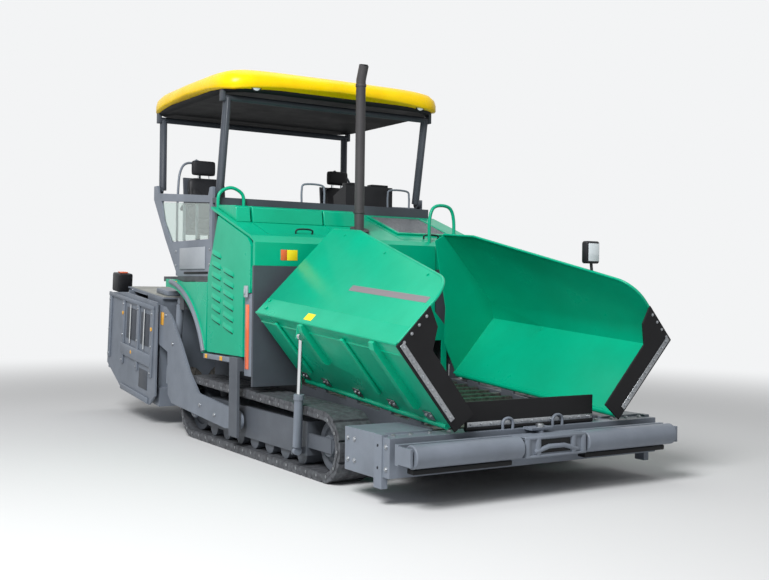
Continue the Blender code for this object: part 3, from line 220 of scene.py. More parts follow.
# %% Tread plate and mesh
def rolled_bars(name, light, dark, spacing, depth):
    """Raised bars: the product of two slanted waves, kept where it is high."""
    material, tree, shader = shader_of(name, light, IOR=1.5)
    place, noise = mottle(tree, shader, light, dark, 0.2)
    rough_patches(tree, shader, noise, 0.45, 0.65)
    waves = []
    for turn in (math.radians(45), math.radians(-45)):
        turned = add(
            tree, "ShaderNodeMapping", {"Rotation": (0, 0, turn)}, {"Vector": place.outputs["Vector"]}
        )
        waves.append(
            add(
                tree, "ShaderNodeTexWave", {"Scale": 1 / (spacing * 6.283) * math.pi, "Distortion": 0.0},
                {"Vector": turned.outputs["Vector"]}, wave_profile="SIN",
            )
        )
    both = add(
        tree, "ShaderNodeMath", links={0: waves[0].outputs["Fac"], 1: waves[1].outputs["Fac"]},
        operation="MULTIPLY",
    )
    bars = add(
        tree, "ShaderNodeMapRange", {"From Min": 0.45, "From Max": 0.6}, {"Value": both.outputs["Value"]}
    )
    relief(tree, shader, bars.outputs["Result"], depth, 1.0)
    return material


deck_plate = rolled_bars("rolled_tread_plate", "#A5A69F", "#8F908B", 0.03, 0.003)
floor_mat = rolled_bars("platform_tread_plate", "#4B4E53", "#3C3F44", 0.03, 0.003)

# %% [markdown]
# ## Which CAD node wears what
# Every node of the frame keeps its mesh and takes one of the finishes. The list reads as a paint plan.

# %% Paint plan
PAINT_PLAN = {
    green_enamel: "hopper_rear_wall hood_frame hopper_wing_* hood_lid_* side_door_* rear_panel_*",
    shell_yellow: "canopy_roof",
    slate_paint: "front_beam push_beam push_roller_* side_wall_* screed_frame screed_extension_* tow_arm_* "
    "wing_cylinder_*_barrel lift_cylinder_*_barrel",
    anthracite_paint: "bulkhead dash_wall canopy_front_posts canopy_rear_posts seat_frame_* engine_block",
    beam_paint: "chassis_frame auger_gearbox track_frame_*",
    stack_paint: "exhaust_stack",
    floor_mat: "platform_floor",
    conveyor_steel: "conveyor_*",
    auger_steel: "auger_right auger_left",
    plain_steel: "tow_bracket_*",
    chrome_rod: "wing_cylinder_*_rod lift_cylinder_*_rod",
    track_iron: "track_right track_left",
    rubber: "wing_flap_* front_apron",
    black_plastic: "control_console",
    seat_vinyl: "seat_cushion_*",
}
plan_of = {}
for paint, listed in PAINT_PLAN.items():
    for pattern in listed.split():
        for name in dict.fromkeys(pattern.replace("*", side) for side, _ in SIDES):
            plan_of[name] = paint
print("planned", len(plan_of), "of", len(nodes), "left", sorted(set(nodes) - set(plan_of)))

# %% [markdown]
# ## Eased edges
# No edge on a real machine is a knife edge: sheet is folded and castings are rounded, and the thin bright
# line along an edge is what makes steel look like steel. So each node gets a copy whose corners are joined
# up, whose flat facets are made one face again, and whose edges are eased by a Bevel of 1 to 3 mm. The copy
# stands for it.

# %% Ease the edges of each node
MODELLED_ANEW = {"canopy_roof", "seat_cushion_right", "seat_cushion_left"}
EASING = {
    "track_right": 0.002, "track_left": 0.002, "conveyor_right": 0.002, "conveyor_left": 0.002,
    "auger_right": 0.001, "auger_left": 0.001,
}
body_of = {node: body for body, listed in frame["record"]["behaviour"]["bodies"].items() for node in listed}
for name, paint in plan_of.items():
    if name in MODELLED_ANEW:
        for slot in nodes[name].material_slots:
            slot.material = paint
        continue
    mesh = nodes[name].data.copy()
    mesh.name = name + "_eased"
    shape = bmesh.new()
    shape.from_mesh(mesh)
    bmesh.ops.remove_doubles(shape, verts=shape.verts, dist=2e-5)
    bmesh.ops.dissolve_limit(shape, angle_limit=math.radians(0.6), verts=shape.verts, edges=shape.edges)
    shape.to_mesh(mesh)
    shape.free()
    mesh.materials.clear()
    mesh.materials.append(paint)
    mesh.shade_smooth()
    mesh.set_sharp_from_angle(angle=math.radians(34))
    eased = bpy.data.objects.new(name + "_eased", mesh)
    bpy.context.scene.collection.objects.link(eased)
    bevel = eased.modifiers.new("eased_edges", "BEVEL")
    bevel.width, bevel.segments = EASING.get(name, 0.003), 2
    bevel.limit_method, bevel.angle_limit = "ANGLE", math.radians(36)
    bevel.harden_normals = True
    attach(eased, body_of[name])
    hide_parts(name)
print("eased", len(plan_of) - len(MODELLED_ANEW))

# %% [markdown]
# ## Shapes from numbers
# Every added piece is worked out on a grid. A *net* joins a grid of points into faces. A *block* is a
# rounded box, a *sweep* is a round profile carried along a path, a *turning* is a profile spun round an
# axis, and a *slab* is an outline given a thickness. `build` puts one or more of them into a mesh.
# Paired pieces are drawn once, with x as the distance out from the middle, and built on both sides.


# %% Shape tools
def net(grid):
    """Faces of a grid of points, rows by columns, closed round the columns and capped at both ends."""
    rows, columns = grid.shape[:2]
    k = np.arange(rows * columns).reshape(rows, columns)
    right = np.roll(k, -1, axis=1)
    quads = np.stack([k[:-1], right[:-1], right[1:], k[1:]], axis=-1).reshape(-1, 4)
    return grid.reshape(-1, 3), quads.tolist() + [k[0, ::-1].tolist(), k[-1].tolist()]


def block(low, high, radius=0.004):
    """Rounded box: a rounded rectangle whose inset follows a quarter circle towards both ends."""
    low, high = np.minimum(low, high), np.maximum(low, high)
    radius = min(radius, 0.45 * float((high - low).min()))
    roll = np.radians([25, 55, 90])
    inset = radius * (1 - np.sin(roll))
    rise = radius * (1 - np.cos(roll))
    inset, z = np.concatenate([inset, inset[::-1]]), np.concatenate([low[2] + rise, high[2] - rise[::-1]])
    turn = np.radians(np.array([0, 45, 90, 90, 135, 180, 180, 225, 270, 270, 315, 360]))
    corner = np.array([[1, 1]] * 3 + [[-1, 1]] * 3 + [[-1, -1]] * 3 + [[1, -1]] * 3)
    middle, half = (low + high)[:2] / 2, (high - low)[:2] / 2 - radius
    around = np.stack([np.cos(turn), np.sin(turn)], axis=1)
    plan = middle + corner * half + around * (radius - inset)[:, None, None]
    return net(np.dstack([plan, np.repeat(z[:, None], 12, axis=1)]))


def curve(points, steps=8):
    """A smooth path through the points: the Catmull-Rom cubic between each two."""
    p = np.asarray(points, float)
    p = np.vstack([2 * p[0] - p[1], p, 2 * p[-1] - p[-2]])
    t = np.linspace(0, 1, steps, endpoint=False)[None, :, None]
    a, b, c, d = (p[i : len(p) - 3 + i, None, :] for i in range(4))
    path = 0.5 * (2 * b + (c - a) * t + (2 * a - 5 * b + 4 * c - d) * t**2 + (3 * b - a - 3 * c + d) * t**3)
    return np.vstack([path.reshape(-1, 3), p[-2]])


def hoop(x0, x1, y, heights, inset):
    """A smooth arch from x0 to x1 with foot, shoulder and top heights, its top drawn in by inset."""
    foot, shoulder, top = heights
    rise = [(x0, y, foot), (x0, y, shoulder), (x0 + inset, y, top)]
    return curve(rise + [(x1 - inset, y, top), (x1, y, shoulder), (x1, y, foot)], 5)


def sweep(path, radius, sides=12):
    """Tube: at each point of the path a circle square to the path's tangent."""
    path = np.asarray(path, float)
    tangent = np.gradient(path, axis=0)
    tangent /= np.linalg.norm(tangent, axis=1, keepdims=True)
    across = np.linalg.svd(tangent)[2][2]
    normal = np.cross(tangent, across)
    normal /= np.linalg.norm(normal, axis=1, keepdims=True)
    turn = np.linspace(0, 2 * np.pi, sides, endpoint=False)[None, :, None]
    ring = np.cos(turn) * normal[:, None] + np.sin(turn) * np.cross(tangent, normal)[:, None]
    return net(path[:, None] + ring * np.broadcast_to(radius, len(path))[:, None, None])


def frame_of(axis):
    """Three unit vectors, the last along the axis."""
    z = np.asarray(axis, float) / np.linalg.norm(axis)
    x = np.cross([0, 0, 1.0] if abs(z[2]) < 0.9 else [0, 1.0, 0], z)
    x /= np.linalg.norm(x)
    return np.stack([x, np.cross(z, x), z])


def turning(profile, centre, axis, sides=24):
    """A profile of (radius, height) pairs spun round an axis through the centre."""
    profile = np.asarray(profile, float)
    turn = np.linspace(0, 2 * np.pi, sides, endpoint=False)
    local = np.stack(
        [
            profile[:, :1] * np.cos(turn),
            profile[:, :1] * np.sin(turn),
            np.repeat(profile[:, 1:], sides, axis=1),
        ], axis=-1
    )
    return net(local @ frame_of(axis) + np.asarray(centre, float))


def slab(outline, origin, along, up, thickness):
    """An outline in the plane of along and up, thickened along their cross product."""
    outline = np.asarray(outline, float)
    along, up = np.asarray(along, float), np.asarray(up, float)
    flat = np.asarray(origin, float) + outline[:, :1] * along + outline[:, 1:] * up
    return net(np.stack([flat, flat + np.cross(along, up) * thickness]))


def repeat(part, spots):
    """Copies of a part, moved by each of the spots."""
    points, faces = part
    spots = np.asarray(spots, float)
    count = len(points)
    moved = (points[None] + spots[:, None]).reshape(-1, 3)
    return moved, [[v + i * count for v in face] for i in range(len(spots)) for face in faces]


def bolts(spots, axis, radius=0.011):
    """Hexagon heads on washers at the spots, standing along the axis."""
    washer = turning([(1.5 * radius, 0), (1.5 * radius, 0.25 * radius)], (0, 0, 0), axis, 12)
    head = turning(
        [(1.1 * radius, 0.2 * radius), (1.1 * radius, 0.85 * radius), (0.9 * radius, radius)], (0, 0, 0),
        axis, 6,
    )
    merged = np.vstack([washer[0], head[0]]), washer[1] + [[v + len(washer[0]) for v in f] for f in head[1]]
    return repeat(merged, spots)


def line(start, end, count):
    """That many spots, evenly spaced from start to end."""
    return np.linspace(start, end, count)


def build(name, parts, paint, body, side=1, bevel=0.0, levels=0, place=None, sharp=38):
    """One mesh of the parts, mirrored for its side, finished, faces outwards, riding on the body."""
    points, faces, start = [], [], 0
    for part_points, part_faces in parts:
        points.append(part_points)
        faces += [[v + start for v in face] for face in part_faces]
        start += len(part_points)
    points = np.vstack(points)
    points = place(points) if place else points.copy()
    points[:, 0] *= side
    mesh = bpy.data.meshes.new(name)
    mesh.from_pydata(points.tolist(), [], faces)
    shape = bmesh.new()
    shape.from_mesh(mesh)
    bmesh.ops.remove_doubles(shape, verts=shape.verts, dist=1e-6)
    bmesh.ops.recalc_face_normals(shape, faces=shape.faces)
    shape.to_mesh(mesh)
    shape.free()
    mesh.materials.append(paint)
    mesh.shade_smooth()
    mesh.set_sharp_from_angle(angle=math.radians(sharp))
    piece = bpy.data.objects.new(name, mesh)
    bpy.context.scene.collection.objects.link(piece)
    if bevel:
        cut = piece.modifiers.new("edges", "BEVEL")
        cut.width, cut.segments, cut.limit_method = bevel, 2, "ANGLE"
    if levels:
        smooth = piece.modifiers.new("smooth", "SUBSURF")
        smooth.levels = smooth.render_levels = levels
    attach(piece, body)
    return piece


# %% [markdown]
# ## The canopy
# The roof is one moulded yellow shell over a black liner, whose near-black also paints the shade under the
# roof. Its plan is a square with rounded corners, and its rim arches up between the corners, which stiffens a
# thin shell. A superellipse gives such a plan with one formula, and its rows shrink towards the crown.

# %% Canopy shell and liner
ROOF_MIDDLE_Y, ROOF_HALF_X, ROOF_HALF_Y = 0.98, 1.21, 1.04


def superellipse(count, power):
    """Unit curve |x|^p + |y|^p = 1, as an array of (x, y)."""
    turn = np.linspace(0, 2 * np.pi, count, endpoint=False)
    c, s = np.cos(turn), np.sin(turn)
    return np.stack([np.sign(c) * np.abs(c) ** (2 / power), np.sign(s) * np.abs(s) ** (2 / power)], axis=1)


def roof_ring(plan, inset, z, arch):
    """One row: the plan drawn in by inset, its height lifted by arch in the middle of each edge."""
    middle = 1 - np.minimum(np.abs(plan[:, 0]), np.abs(plan[:, 1])) ** 2
    x = plan[:, 0] * (ROOF_HALF_X - inset)
    y = ROOF_MIDDLE_Y + plan[:, 1] * (ROOF_HALF_Y - inset)
    return np.stack([x, y, z + arch * middle], axis=1)


plan = superellipse(96, 9)
outer = [
    (0.010, 3.246, 0.075), (0.0, 3.258, 0.075), (0.0, 3.32, 0.05), (0.012, 3.375, 0.03), (0.05, 3.425, 0.015),
    (0.12, 3.456, 0.008), (0.26, 3.482, 0.003), (0.5, 3.496, 0), (0.8, 3.499, 0), (1.0, 3.4995, 0),
]
inner = [(1.0, 3.475, 0), (0.42, 3.463, 0), (0.10, 3.395, 0.012), (0.04, 3.33, 0.045), (0.028, 3.246, 0.075)]
shell = np.stack([roof_ring(plan, *row) for row in outer + inner])
canopy = build("canopy_shell", [net(shell)], shell_yellow, "roof", sharp=60)
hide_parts("canopy_roof")
liner_rows = [
    (0.9, 3.275, 0), (0.14, 3.262, 0), (0.09, 3.243, 0), (0.06, 3.241, 0.0), (0.035, 3.252, 0.02),
    (0.032, 3.29, 0.07), (0.12, 3.33, 0.07), (0.9, 3.40, 0),
]
liner = np.stack([roof_ring(plan, *row) for row in liner_rows])
# The liner is a black part, drawn near black so that it also paints the shade under the roof.
build("canopy_liner", [net(liner)], black_and_painted_shade, "roof", sharp=60)
ears = [block((1.1303, y - 0.035, 3.165), (1.1653, y + 0.035, 3.28), 0.005) for y in (0.18, 1.84)]
for label, side in SIDES:
    build(f"canopy_ears_{label}", ears, anthracite_paint, "roof", side)
print("canopy rows", shell.shape)

# %% [markdown]
# ## Work lamps
# Four round lamps light the work. A lamp is a turned housing and a lens, so each is spun from a profile
# round the direction that it looks in.


# %% Work lamps
def lamp(name, centre, axis, radius, body):
    """Housing, bezel and lens spun round the lamp's axis."""
    r = radius
    housing = turning(
        [
            (0.35 * r, -0.7 * r), (0.8 * r, -0.6 * r), (r, -0.2 * r), (1.02 * r, 0.25 * r),
            (0.9 * r, 0.3 * r), (0.86 * r, 0.12 * r),
        ],
        centre,
        axis,
        32,
    )
    lens = turning(
        [(0.85 * r, 0.1 * r), (0.84 * r, 0.2 * r), (0.6 * r, 0.27 * r), (0.25 * r, 0.3 * r)], centre, axis, 32
    )
    build(name + "_housing", [housing], black_plastic, body)
    build(name + "_lens", [lens], lamp_glass, body)


for label, side in SIDES:
    lamp(f"front_work_lamp_{label}", (side * 0.905, -0.022, 3.30), (0, -1, -0.15), 0.055, "roof")
    lamp(f"rear_work_lamp_{label}", (side * 0.75, 1.985, 3.285), (0, 1, -0.35), 0.05, "roof")

# %% [markdown]
# ## Exhaust stack
# The stack ends in a cut-back tip that is black with soot inside. A clamp and a heat ring break its length.

# %% Exhaust trim
STACK_X, STACK_Y = -0.045, -0.45
tip = sweep([(STACK_X, STACK_Y - 0.046, 3.49), (STACK_X, STACK_Y - 0.0502, 3.5165)], [0.0385, 0.0375], 24)
build("exhaust_soot", [tip], black_and_painted_shade, "tractor")
bands = [
    turning(
        [(0.0455, z - 0.012), (0.051, z - 0.010), (0.051, z + 0.010), (0.0455, z + 0.012)],
        (STACK_X, STACK_Y, 0), (0, 0, 1), 28,
    )
    for z in (2.16, 3.33)
]
build("exhaust_clamps", bands, stack_paint, "tractor")

# %% [markdown]
# ## Wing panels
# Each wing has its own slanted frame: *along* runs forward from the hinge's rear end, *across* outwards and
# *up*. One function takes an array of such points to the world, so stripes, hems and bolts are drawn flat.

# %% The wings' own frame
HINGE_X, HINGE_Y, HINGE_Z, TILT = 0.79, -0.82, 0.67, math.radians(4)
LOWER, UPPER, LOWER_WIDTH = math.radians(50), math.radians(134), 0.76


def from_wing(p):
    """(across, along, up) in a wing's frame to the world, turned by the hopper's tilt."""
    c, s = math.cos(TILT), math.sin(TILT)
    return np.stack(
        [HINGE_X + p[:, 0], HINGE_Y - c * p[:, 1] - s * p[:, 2], HINGE_Z - s * p[:, 1] + c * p[:, 2]], axis=1
    )


def from_panel(angle, start):
    """A placer for points given as (along, distance up the panel, height off its outer face)."""

    def placer(p):
        across = start[0] + math.cos(angle) * p[:, 1] + math.sin(angle) * p[:, 2]
        up = start[1] + math.sin(angle) * p[:, 1] - math.cos(angle) * p[:, 2]
        return from_wing(np.stack([across, p[:, 0], up], axis=1))

    return placer


KNUCKLE = (LOWER_WIDTH * math.cos(LOWER), LOWER_WIDTH * math.sin(LOWER))
on_lower, on_upper = from_panel(LOWER, (0, 0)), from_panel(UPPER, KNUCKLE)
corner_turn = np.radians(np.linspace(0, 78, 9))
rim = np.vstack(
    [
        [(2.146, 0.02), (2.146, 0.22), (2.146, 0.40)],
        np.stack([1.93 + 0.216 * np.cos(corner_turn), 0.42 + 0.216 * np.sin(corner_turn)], axis=1),
        [(1.2, 0.818), (0.46, 0.996), (0.01, 0.996)],
    ]
)
rim = np.column_stack([rim, np.full(len(rim), -0.006)])
for label, side in SIDES:
    wing = f"wing_{label}"
    build(
        f"wing_rim_{label}", [sweep(rim, 0.011, 10)], green_enamel, wing, side, place=on_upper
    )
    build(
        f"wing_stripe_{label}", [block((1.06, 0.375, 0.0003), (2.09, 0.43, 0.0012), 0.0004)], grey_film, wing,
        side, place=on_upper,
    )
    build(
        f"wing_label_{label}", [block((0.80, 0.035, 0.0003), (0.92, 0.10, 0.0012), 0.0004)], yellow_film,
        wing, side, place=on_upper,
    )
    hooks = [
        block((0.10, 0.05, 0), (0.13, 0.075, 0.014), 0.004),
        block((0.05, 0.13, 0), (0.075, 0.155, 0.012), 0.004),
    ]
    build(
        f"wing_studs_{label}",
        hooks + [bolts([(0.30, 0.93, 0), (1.1, 0.78, 0), (1.85, 0.62, 0)], (0, 0, 1), 0.009)], green_enamel,
        wing, side, place=on_upper,
    )

# %% [markdown]
# ## Hinge straps
# Bolted straps hold each wing to its hinge bar. They show as a dotted bright row along the panel's foot.

# %% Hinge straps
for label, side in SIDES:
    stations = np.array([0.12, 0.48, 0.98, 1.48, 1.95])
    straps = [block((a - 0.05, 0.035, 0.0002), (a + 0.05, 0.115, 0.009), 0.003) for a in stations]
    build(f"hinge_straps_{label}", straps, plain_steel, f"wing_{label}", side, place=on_lower)
    spots = [(a + d, 0.078, 0.009) for a in stations for d in (-0.028, 0.028)]
    build(
        f"hinge_bolts_{label}", [bolts(spots, (0, 0, 1), 0.010)], zinc_plate, f"wing_{label}", side,
        place=on_lower,
    )
    ribs = [block((a, 0.16, 0.0002), (a + 0.05, 0.70, 0.028), 0.010) for a in (0.30, 1.36)]
    build(f"wing_ribs_{label}", ribs, green_enamel, f"wing_{label}", side, place=on_lower)

# %% [markdown]
# ## Rubber flaps and the apron
# Rubber sheets close the hopper's front. Steel strips clamp them, and the bolts are close together so that
# hot mix can't creep behind. The strips run along the panel's front edge.

# %% Clamp strips
WING_LENGTH, FACE_GAP, FLAP_THICKNESS = 2.15, 0.0003, 0.015
flap_front = WING_LENGTH + FACE_GAP + FLAP_THICKNESS
for label, side in SIDES:
    direction = np.array([math.cos(LOWER), math.sin(LOWER)])
    inward = np.array([-math.sin(LOWER), math.cos(LOWER)])
    ends = [direction * 0.05 + inward * 0.03, direction * 0.74 + inward * 0.03]
    strip_outline = [(0, -0.02), (0.69, -0.02), (0.69, 0.02), (0, 0.02)]
    strip = slab(
        strip_outline, (ends[0][0], flap_front + 0.0065, ends[0][1]), (direction[0], 0, direction[1]),
        (inward[0], 0, inward[1]), 0.006,
    )
    build(f"flap_strip_{label}", [strip], zinc_plate, f"wing_{label}", side, place=from_wing, bevel=0.0015)
    spots = line((*(ends[0] + direction * 0.03), 0), (*(ends[1] - direction * 0.03), 0), 11)
    heads = bolts(
        np.column_stack([spots[:, 0], np.full(11, flap_front + 0.0065), spots[:, 1]]), (0, 1, 0), 0.009
    )
    build(f"flap_bolts_{label}", [heads], zinc_plate, f"wing_{label}", side, place=from_wing)
    upper_way = np.array([math.cos(UPPER), math.sin(UPPER)])
    first = np.array(KNUCKLE) + upper_way * 0.05 + np.array([-0.02, -0.02])
    spots = line(first, first + upper_way * 0.24, 4)
    heads = bolts(np.column_stack([spots[:, 0], np.full(4, flap_front), spots[:, 1]]), (0, 1, 0), 0.008)
    build(f"flap_bolts_upper_{label}", [heads], zinc_plate, f"wing_{label}", side, place=from_wing)
apron_strip = block((-0.59, -2.8755, 0.50), (0.59, -2.8705, 0.535), 0.0015)
apron_heads = bolts(line((-0.56, -2.8755, 0.5175), (0.56, -2.8755, 0.5175), 13), (0, -1, 0), 0.008)
build("apron_strip", [apron_strip, apron_heads], zinc_plate, "apron")

# %% [markdown]
# ## Wing lamp and grab loops
# A black lamp stands on the left wing's edge, and two green loops on the hood give a hand hold.

# %% Lamp on the wing, grab loops
wing_lamp = block((0.725, -2.655, 1.68), (0.865, -2.585, 1.86), 0.02)
stalk = sweep([(0.80, -2.63, 1.62), (0.80, -2.62, 1.70)], 0.012)
build("wing_lamp", [wing_lamp, stalk], black_plastic, "wing_left")
face = block((0.74, -2.6575, 1.70), (0.85, -2.6545, 1.84), 0.001)
build("wing_lamp_face", [face], lamp_glass, "wing_left")
for name, x0, x1, y, z0, z1 in (
    ("right", -1.18, -0.93, 0.17, 2.15, 2.37), ("left", 0.60, 0.88, -0.66, 1.88, 2.25)
):
    xm = (x0 + x1) / 2
    arch = curve(
        [
            (x0, y, z0), (x0, y, z0 + 0.6 * (z1 - z0)), (x0 + 0.04, y, z1 - 0.03), (xm, y, z1),
            (x1 - 0.04, y, z1 - 0.03), (x1, y, z0 + 0.6 * (z1 - z0)), (x1, y, z0),
        ],
        6,
    )
    build(f"grab_loop_{name}", [sweep(arch, 0.016)], green_enamel, "tractor")

# %% [markdown]
# ## Hood
# Behind the slope stands a low cross duct with a steep front, and a mesh lets air in beside the stack. The
# duct is one profile of the hood's slope, cut across its width where the lids part. Its pieces ride on
# their lids.

# %% Duct and air mesh
SLOPE = (2.19 - 1.90) / (0.20 + 0.66)


def hood_z(y):
    """Top of the sloping hood."""
    return 1.90 + SLOPE * (y + 0.66)


duct = [
    (-0.27, hood_z(-0.27) + 0.0004), (-0.245, 2.165), (-0.22, 2.18), (0.14, 2.205),
    (0.148, hood_z(0.148) + 0.0004),
]
for name, x0, x1, body in (
    ("lid_right", -1.035, -0.325, "lid_right"),
    ("spine", -0.31, 0.02, "tractor"),
    ("edge", -1.19, -1.055, "tractor"),
):
    build(
        f"hood_duct_{name}", [slab(duct, (x0, 0, 0), (0, 1, 0), (0, 0, 1), x1 - x0)], green_enamel, body,
        bevel=0.006,
    )


def on_hood(p):
    """(x, distance back from the front edge along the slope, height off it)."""
    run = math.hypot(1, SLOPE)
    y = -0.66 + p[:, 1] / run - p[:, 2] * SLOPE / run
    z = 1.90 + p[:, 1] * SLOPE / run + p[:, 2] / run
    return np.stack([p[:, 0], y, z], axis=1)


wires = [block((x, 0.24, 0.006), (x + 0.006, 0.78, 0.010), 0.001) for x in np.arange(0.40, 0.98, 0.024)]
wires += [block((0.395, v, 0.010), (0.985, v + 0.006, 0.014), 0.001) for v in np.arange(0.25, 0.78, 0.024)]
EDGES = (
    (0.37, 1.01, 0.21, 0.24), (0.37, 1.01, 0.78, 0.81), (0.37, 0.40, 0.24, 0.78), (0.98, 1.01, 0.24, 0.78)
)
surround = [block((x0, v0, 0.0005), (x1, v1, 0.02), 0.005) for x0, x1, v0, v1 in EDGES]
build(
    "air_mesh_tray", [block((0.40, 0.24, 0.0005), (0.98, 0.78, 0.003), 0.001)], pale_paint, "lid_left",
    place=on_hood,
)
build("air_mesh", wires, zinc_plate, "lid_left", place=on_hood)
build("air_mesh_surround", surround, green_enamel, "lid_left", place=on_hood)
for label, side in SIDES:
    grips = curve(
        [
            (0.60, 0.10, 0.0), (0.60, 0.10, 0.03), (0.64, 0.10, 0.042), (0.72, 0.10, 0.042),
            (0.76, 0.10, 0.03), (0.76, 0.10, 0.0),
        ],
        4,
    )
    build(f"lid_grip_{label}", [sweep(grips, 0.008)], black_plastic, f"lid_{label}", side, place=on_hood)

# %% [markdown]
# ## Side doors
# Each door has two columns of pressed louvres that slope down to the front. A louvre is a low hood: it rises
# smoothly from its top edge and stops short above a slot, whose shade is painted as a thin dark strip.

# %% Louvres
SKIN_X = 1.25


def louvre(y0, z0, length, height, drop):
    """Low hood over a slot: bulge times a half sine along, rising to its lower lip."""
    u = np.linspace(0, 1, 13)[:, None]
    v = np.array([0.0, 0.25, 0.55, 0.85, 1.0, 1.0])[None]
    lift = np.array([0.0, 0.35, 0.75, 1.0, 0.9, 0.0])[None] * 0.016 * np.sin(
        np.pi * np.clip(u, 0.02, 0.98)
    ) ** 0.35
    y = y0 - length * u + 0 * v
    z = z0 - drop * u - height * v
    return net(np.stack([SKIN_X - 0.0005 + lift, y, z], axis=-1))


for label, side in SIDES:
    door = f"door_{label}"
    hoods, slot_shades = [], []
    for row in range(7):
        z = 1.80 - 0.098 * row
        for start, length in ((0.13, 0.20), (-0.13, 0.22)):
            if z > 1.75 and start < 0:
                continue
            drop = 0.24 * length
            top = z + 0.24 * (start - 0.13)
            hoods.append(louvre(start, top, length, 0.042, drop))
            # Under each louvre lies a thin dark strip, painted shade where the slot would be dark.
            slot_shades.append(
                slab(
                    [(0.0, 0.0), (length - 0.02, -drop), (length - 0.02, -drop - 0.012), (0.0, -0.012)],
                    (SKIN_X + 0.0012, start - 0.01, top - 0.044), (0, -1, 0), (0, 0, 1), 0.001,
                )
            )
    build(f"door_louvres_{label}", hoods, green_enamel, door, side)
    build(f"door_slot_shades_{label}", slot_shades, black_and_painted_shade, door, side)
    latch = [
        block((SKIN_X, -0.66, 1.37), (SKIN_X + 0.02, -0.60, 1.47), 0.006),
        block((SKIN_X + 0.02, -0.64, 1.40), (SKIN_X + 0.03, -0.62, 1.44), 0.004),
    ]
    build(f"door_latch_{label}", latch, pale_paint, door, side)
print("louvres a door", len(hoods))

# %% [markdown]
# ## Reflectors, plates and markers
# Flat reflectors mark the machine's width, and a blank plate sits on the hood's front.

# %% Reflectors and plates
for label, side in SIDES:
    post = block((1.205, -0.724, 0.70), (1.2395, -0.562, 1.405), 0.004)
    build(f"door_post_{label}", [post], slate_paint, "tractor", side)
    strip = block((1.2397, -0.655, 0.76), (1.2437, -0.585, 1.31), 0.001)
    build(f"width_reflector_{label}", [strip], orange_lens, "tractor", side)
    ledge = block((1.215, -0.325, 0.795), (1.258, 0.30, 0.842), 0.006)
    build(f"fender_ledge_{label}", [ledge], slate_paint, "tractor", side)
    marks = [block((1.2585, y, 0.80), (1.2635, y + 0.055, 0.838), 0.002) for y in (-0.14, 0.20)]
    build(f"fender_markers_{label}", marks, amber_lens, "tractor", side)
for label, side in SIDES:
    turn = np.radians(np.linspace(157, 96, 22))
    edge = np.stack([np.full(22, 1.2655), 1.25 + 1.052 * np.cos(turn), 0.45 + 1.052 * np.sin(turn)], axis=1)
    build(f"fender_bead_{label}", [sweep(edge, 0.022, 14)], slate_paint, "tractor", side)
    plug = turning([(0.028, 0), (0.028, 0.006), (0.018, 0.010)], (1.2505, 1.02, 1.475), (1, 0, 0), 20)
    build(f"panel_plug_{label}", [plug], amber_lens, "tractor", side)
build("hood_plate", [block((-0.94, -0.7573, 1.69), (-0.84, -0.7553, 1.78), 0.0008)], yellow_film, "tractor")
build(
    "hood_plate_end", [block((-1.0, -0.7573, 1.69), (-0.941, -0.7553, 1.78), 0.0008)], orange_lens, "tractor"
)

# %% [markdown]
# ## Platform sides
# A pane with two pale bars fills each side wall's window. A bolted cover lies below it, and under the cover a
# thin dark strip is painted shade for a slot.

# %% Windows, covers and rails
for label, side in SIDES:
    pane = slab(
        [(0.385, 1.905), (1.357, 1.905), (1.575, 2.122), (1.652, 2.32), (0.385, 2.235)], (1.163, 0, 0),
        (0, 1, 0), (0, 0, 1), 0.005,
    )
    build(f"side_window_{label}", [pane], pane_glass, "tractor", side, bevel=0.0005)
    bars = [block((1.145, y, 1.90), (1.160, y + 0.05, top), 0.004) for y, top in ((0.72, 2.25), (1.05, 2.28))]
    build(f"window_bars_{label}", bars, pale_paint, "tractor", side)
    cover = block((1.18, 0.46, 1.62), (1.192, 1.10, 1.83), 0.005)
    build(f"wall_cover_{label}", [cover], pale_paint, "tractor", side)
    # A thin near-black block: painted shade for the slot under the cover.
    slot = block((1.1805, 0.40, 1.575), (1.188, 0.99, 1.595), 0.003)
    build(f"wall_slot_shade_{label}", [slot], black_and_painted_shade, "tractor", side)
    heads = bolts([(1.18, y, z) for y in (0.36, 1.22) for z in (1.66, 1.80)], (1, 0, 0), 0.010)
    build(f"wall_bolts_{label}", [heads], zinc_plate, "tractor", side)
    loop = curve(
        [
            (1.05, 1.53, 1.56), (1.05, 1.53, 2.40), (1.00, 1.56, 2.68), (0.88, 1.58, 2.74),
            (0.80, 1.57, 2.66), (0.80, 1.56, 1.56),
        ],
        6,
    )
    build(f"guard_rail_{label}", [sweep(loop, 0.0125)], slate_paint, "tractor", side)
for name, x0, x1 in (("right", -0.27, -0.02), ("left", 0.72, 0.98)):
    arch = hoop(x0, x1, 0.27, (2.275, 2.40, 2.46), 0.03)
    build(f"dash_hoop_{name}", [sweep(arch, 0.010)], slate_paint, "tractor")
print("platform sides done")

# %% [markdown]
# ## Seats
# A seat has a base pad and a back pad in vinyl, each sewn with channels. A pad is a closed form: its plan
# is a rounded square pulled in a little between the corners, its top is crowned, and channels press lines
# in it.

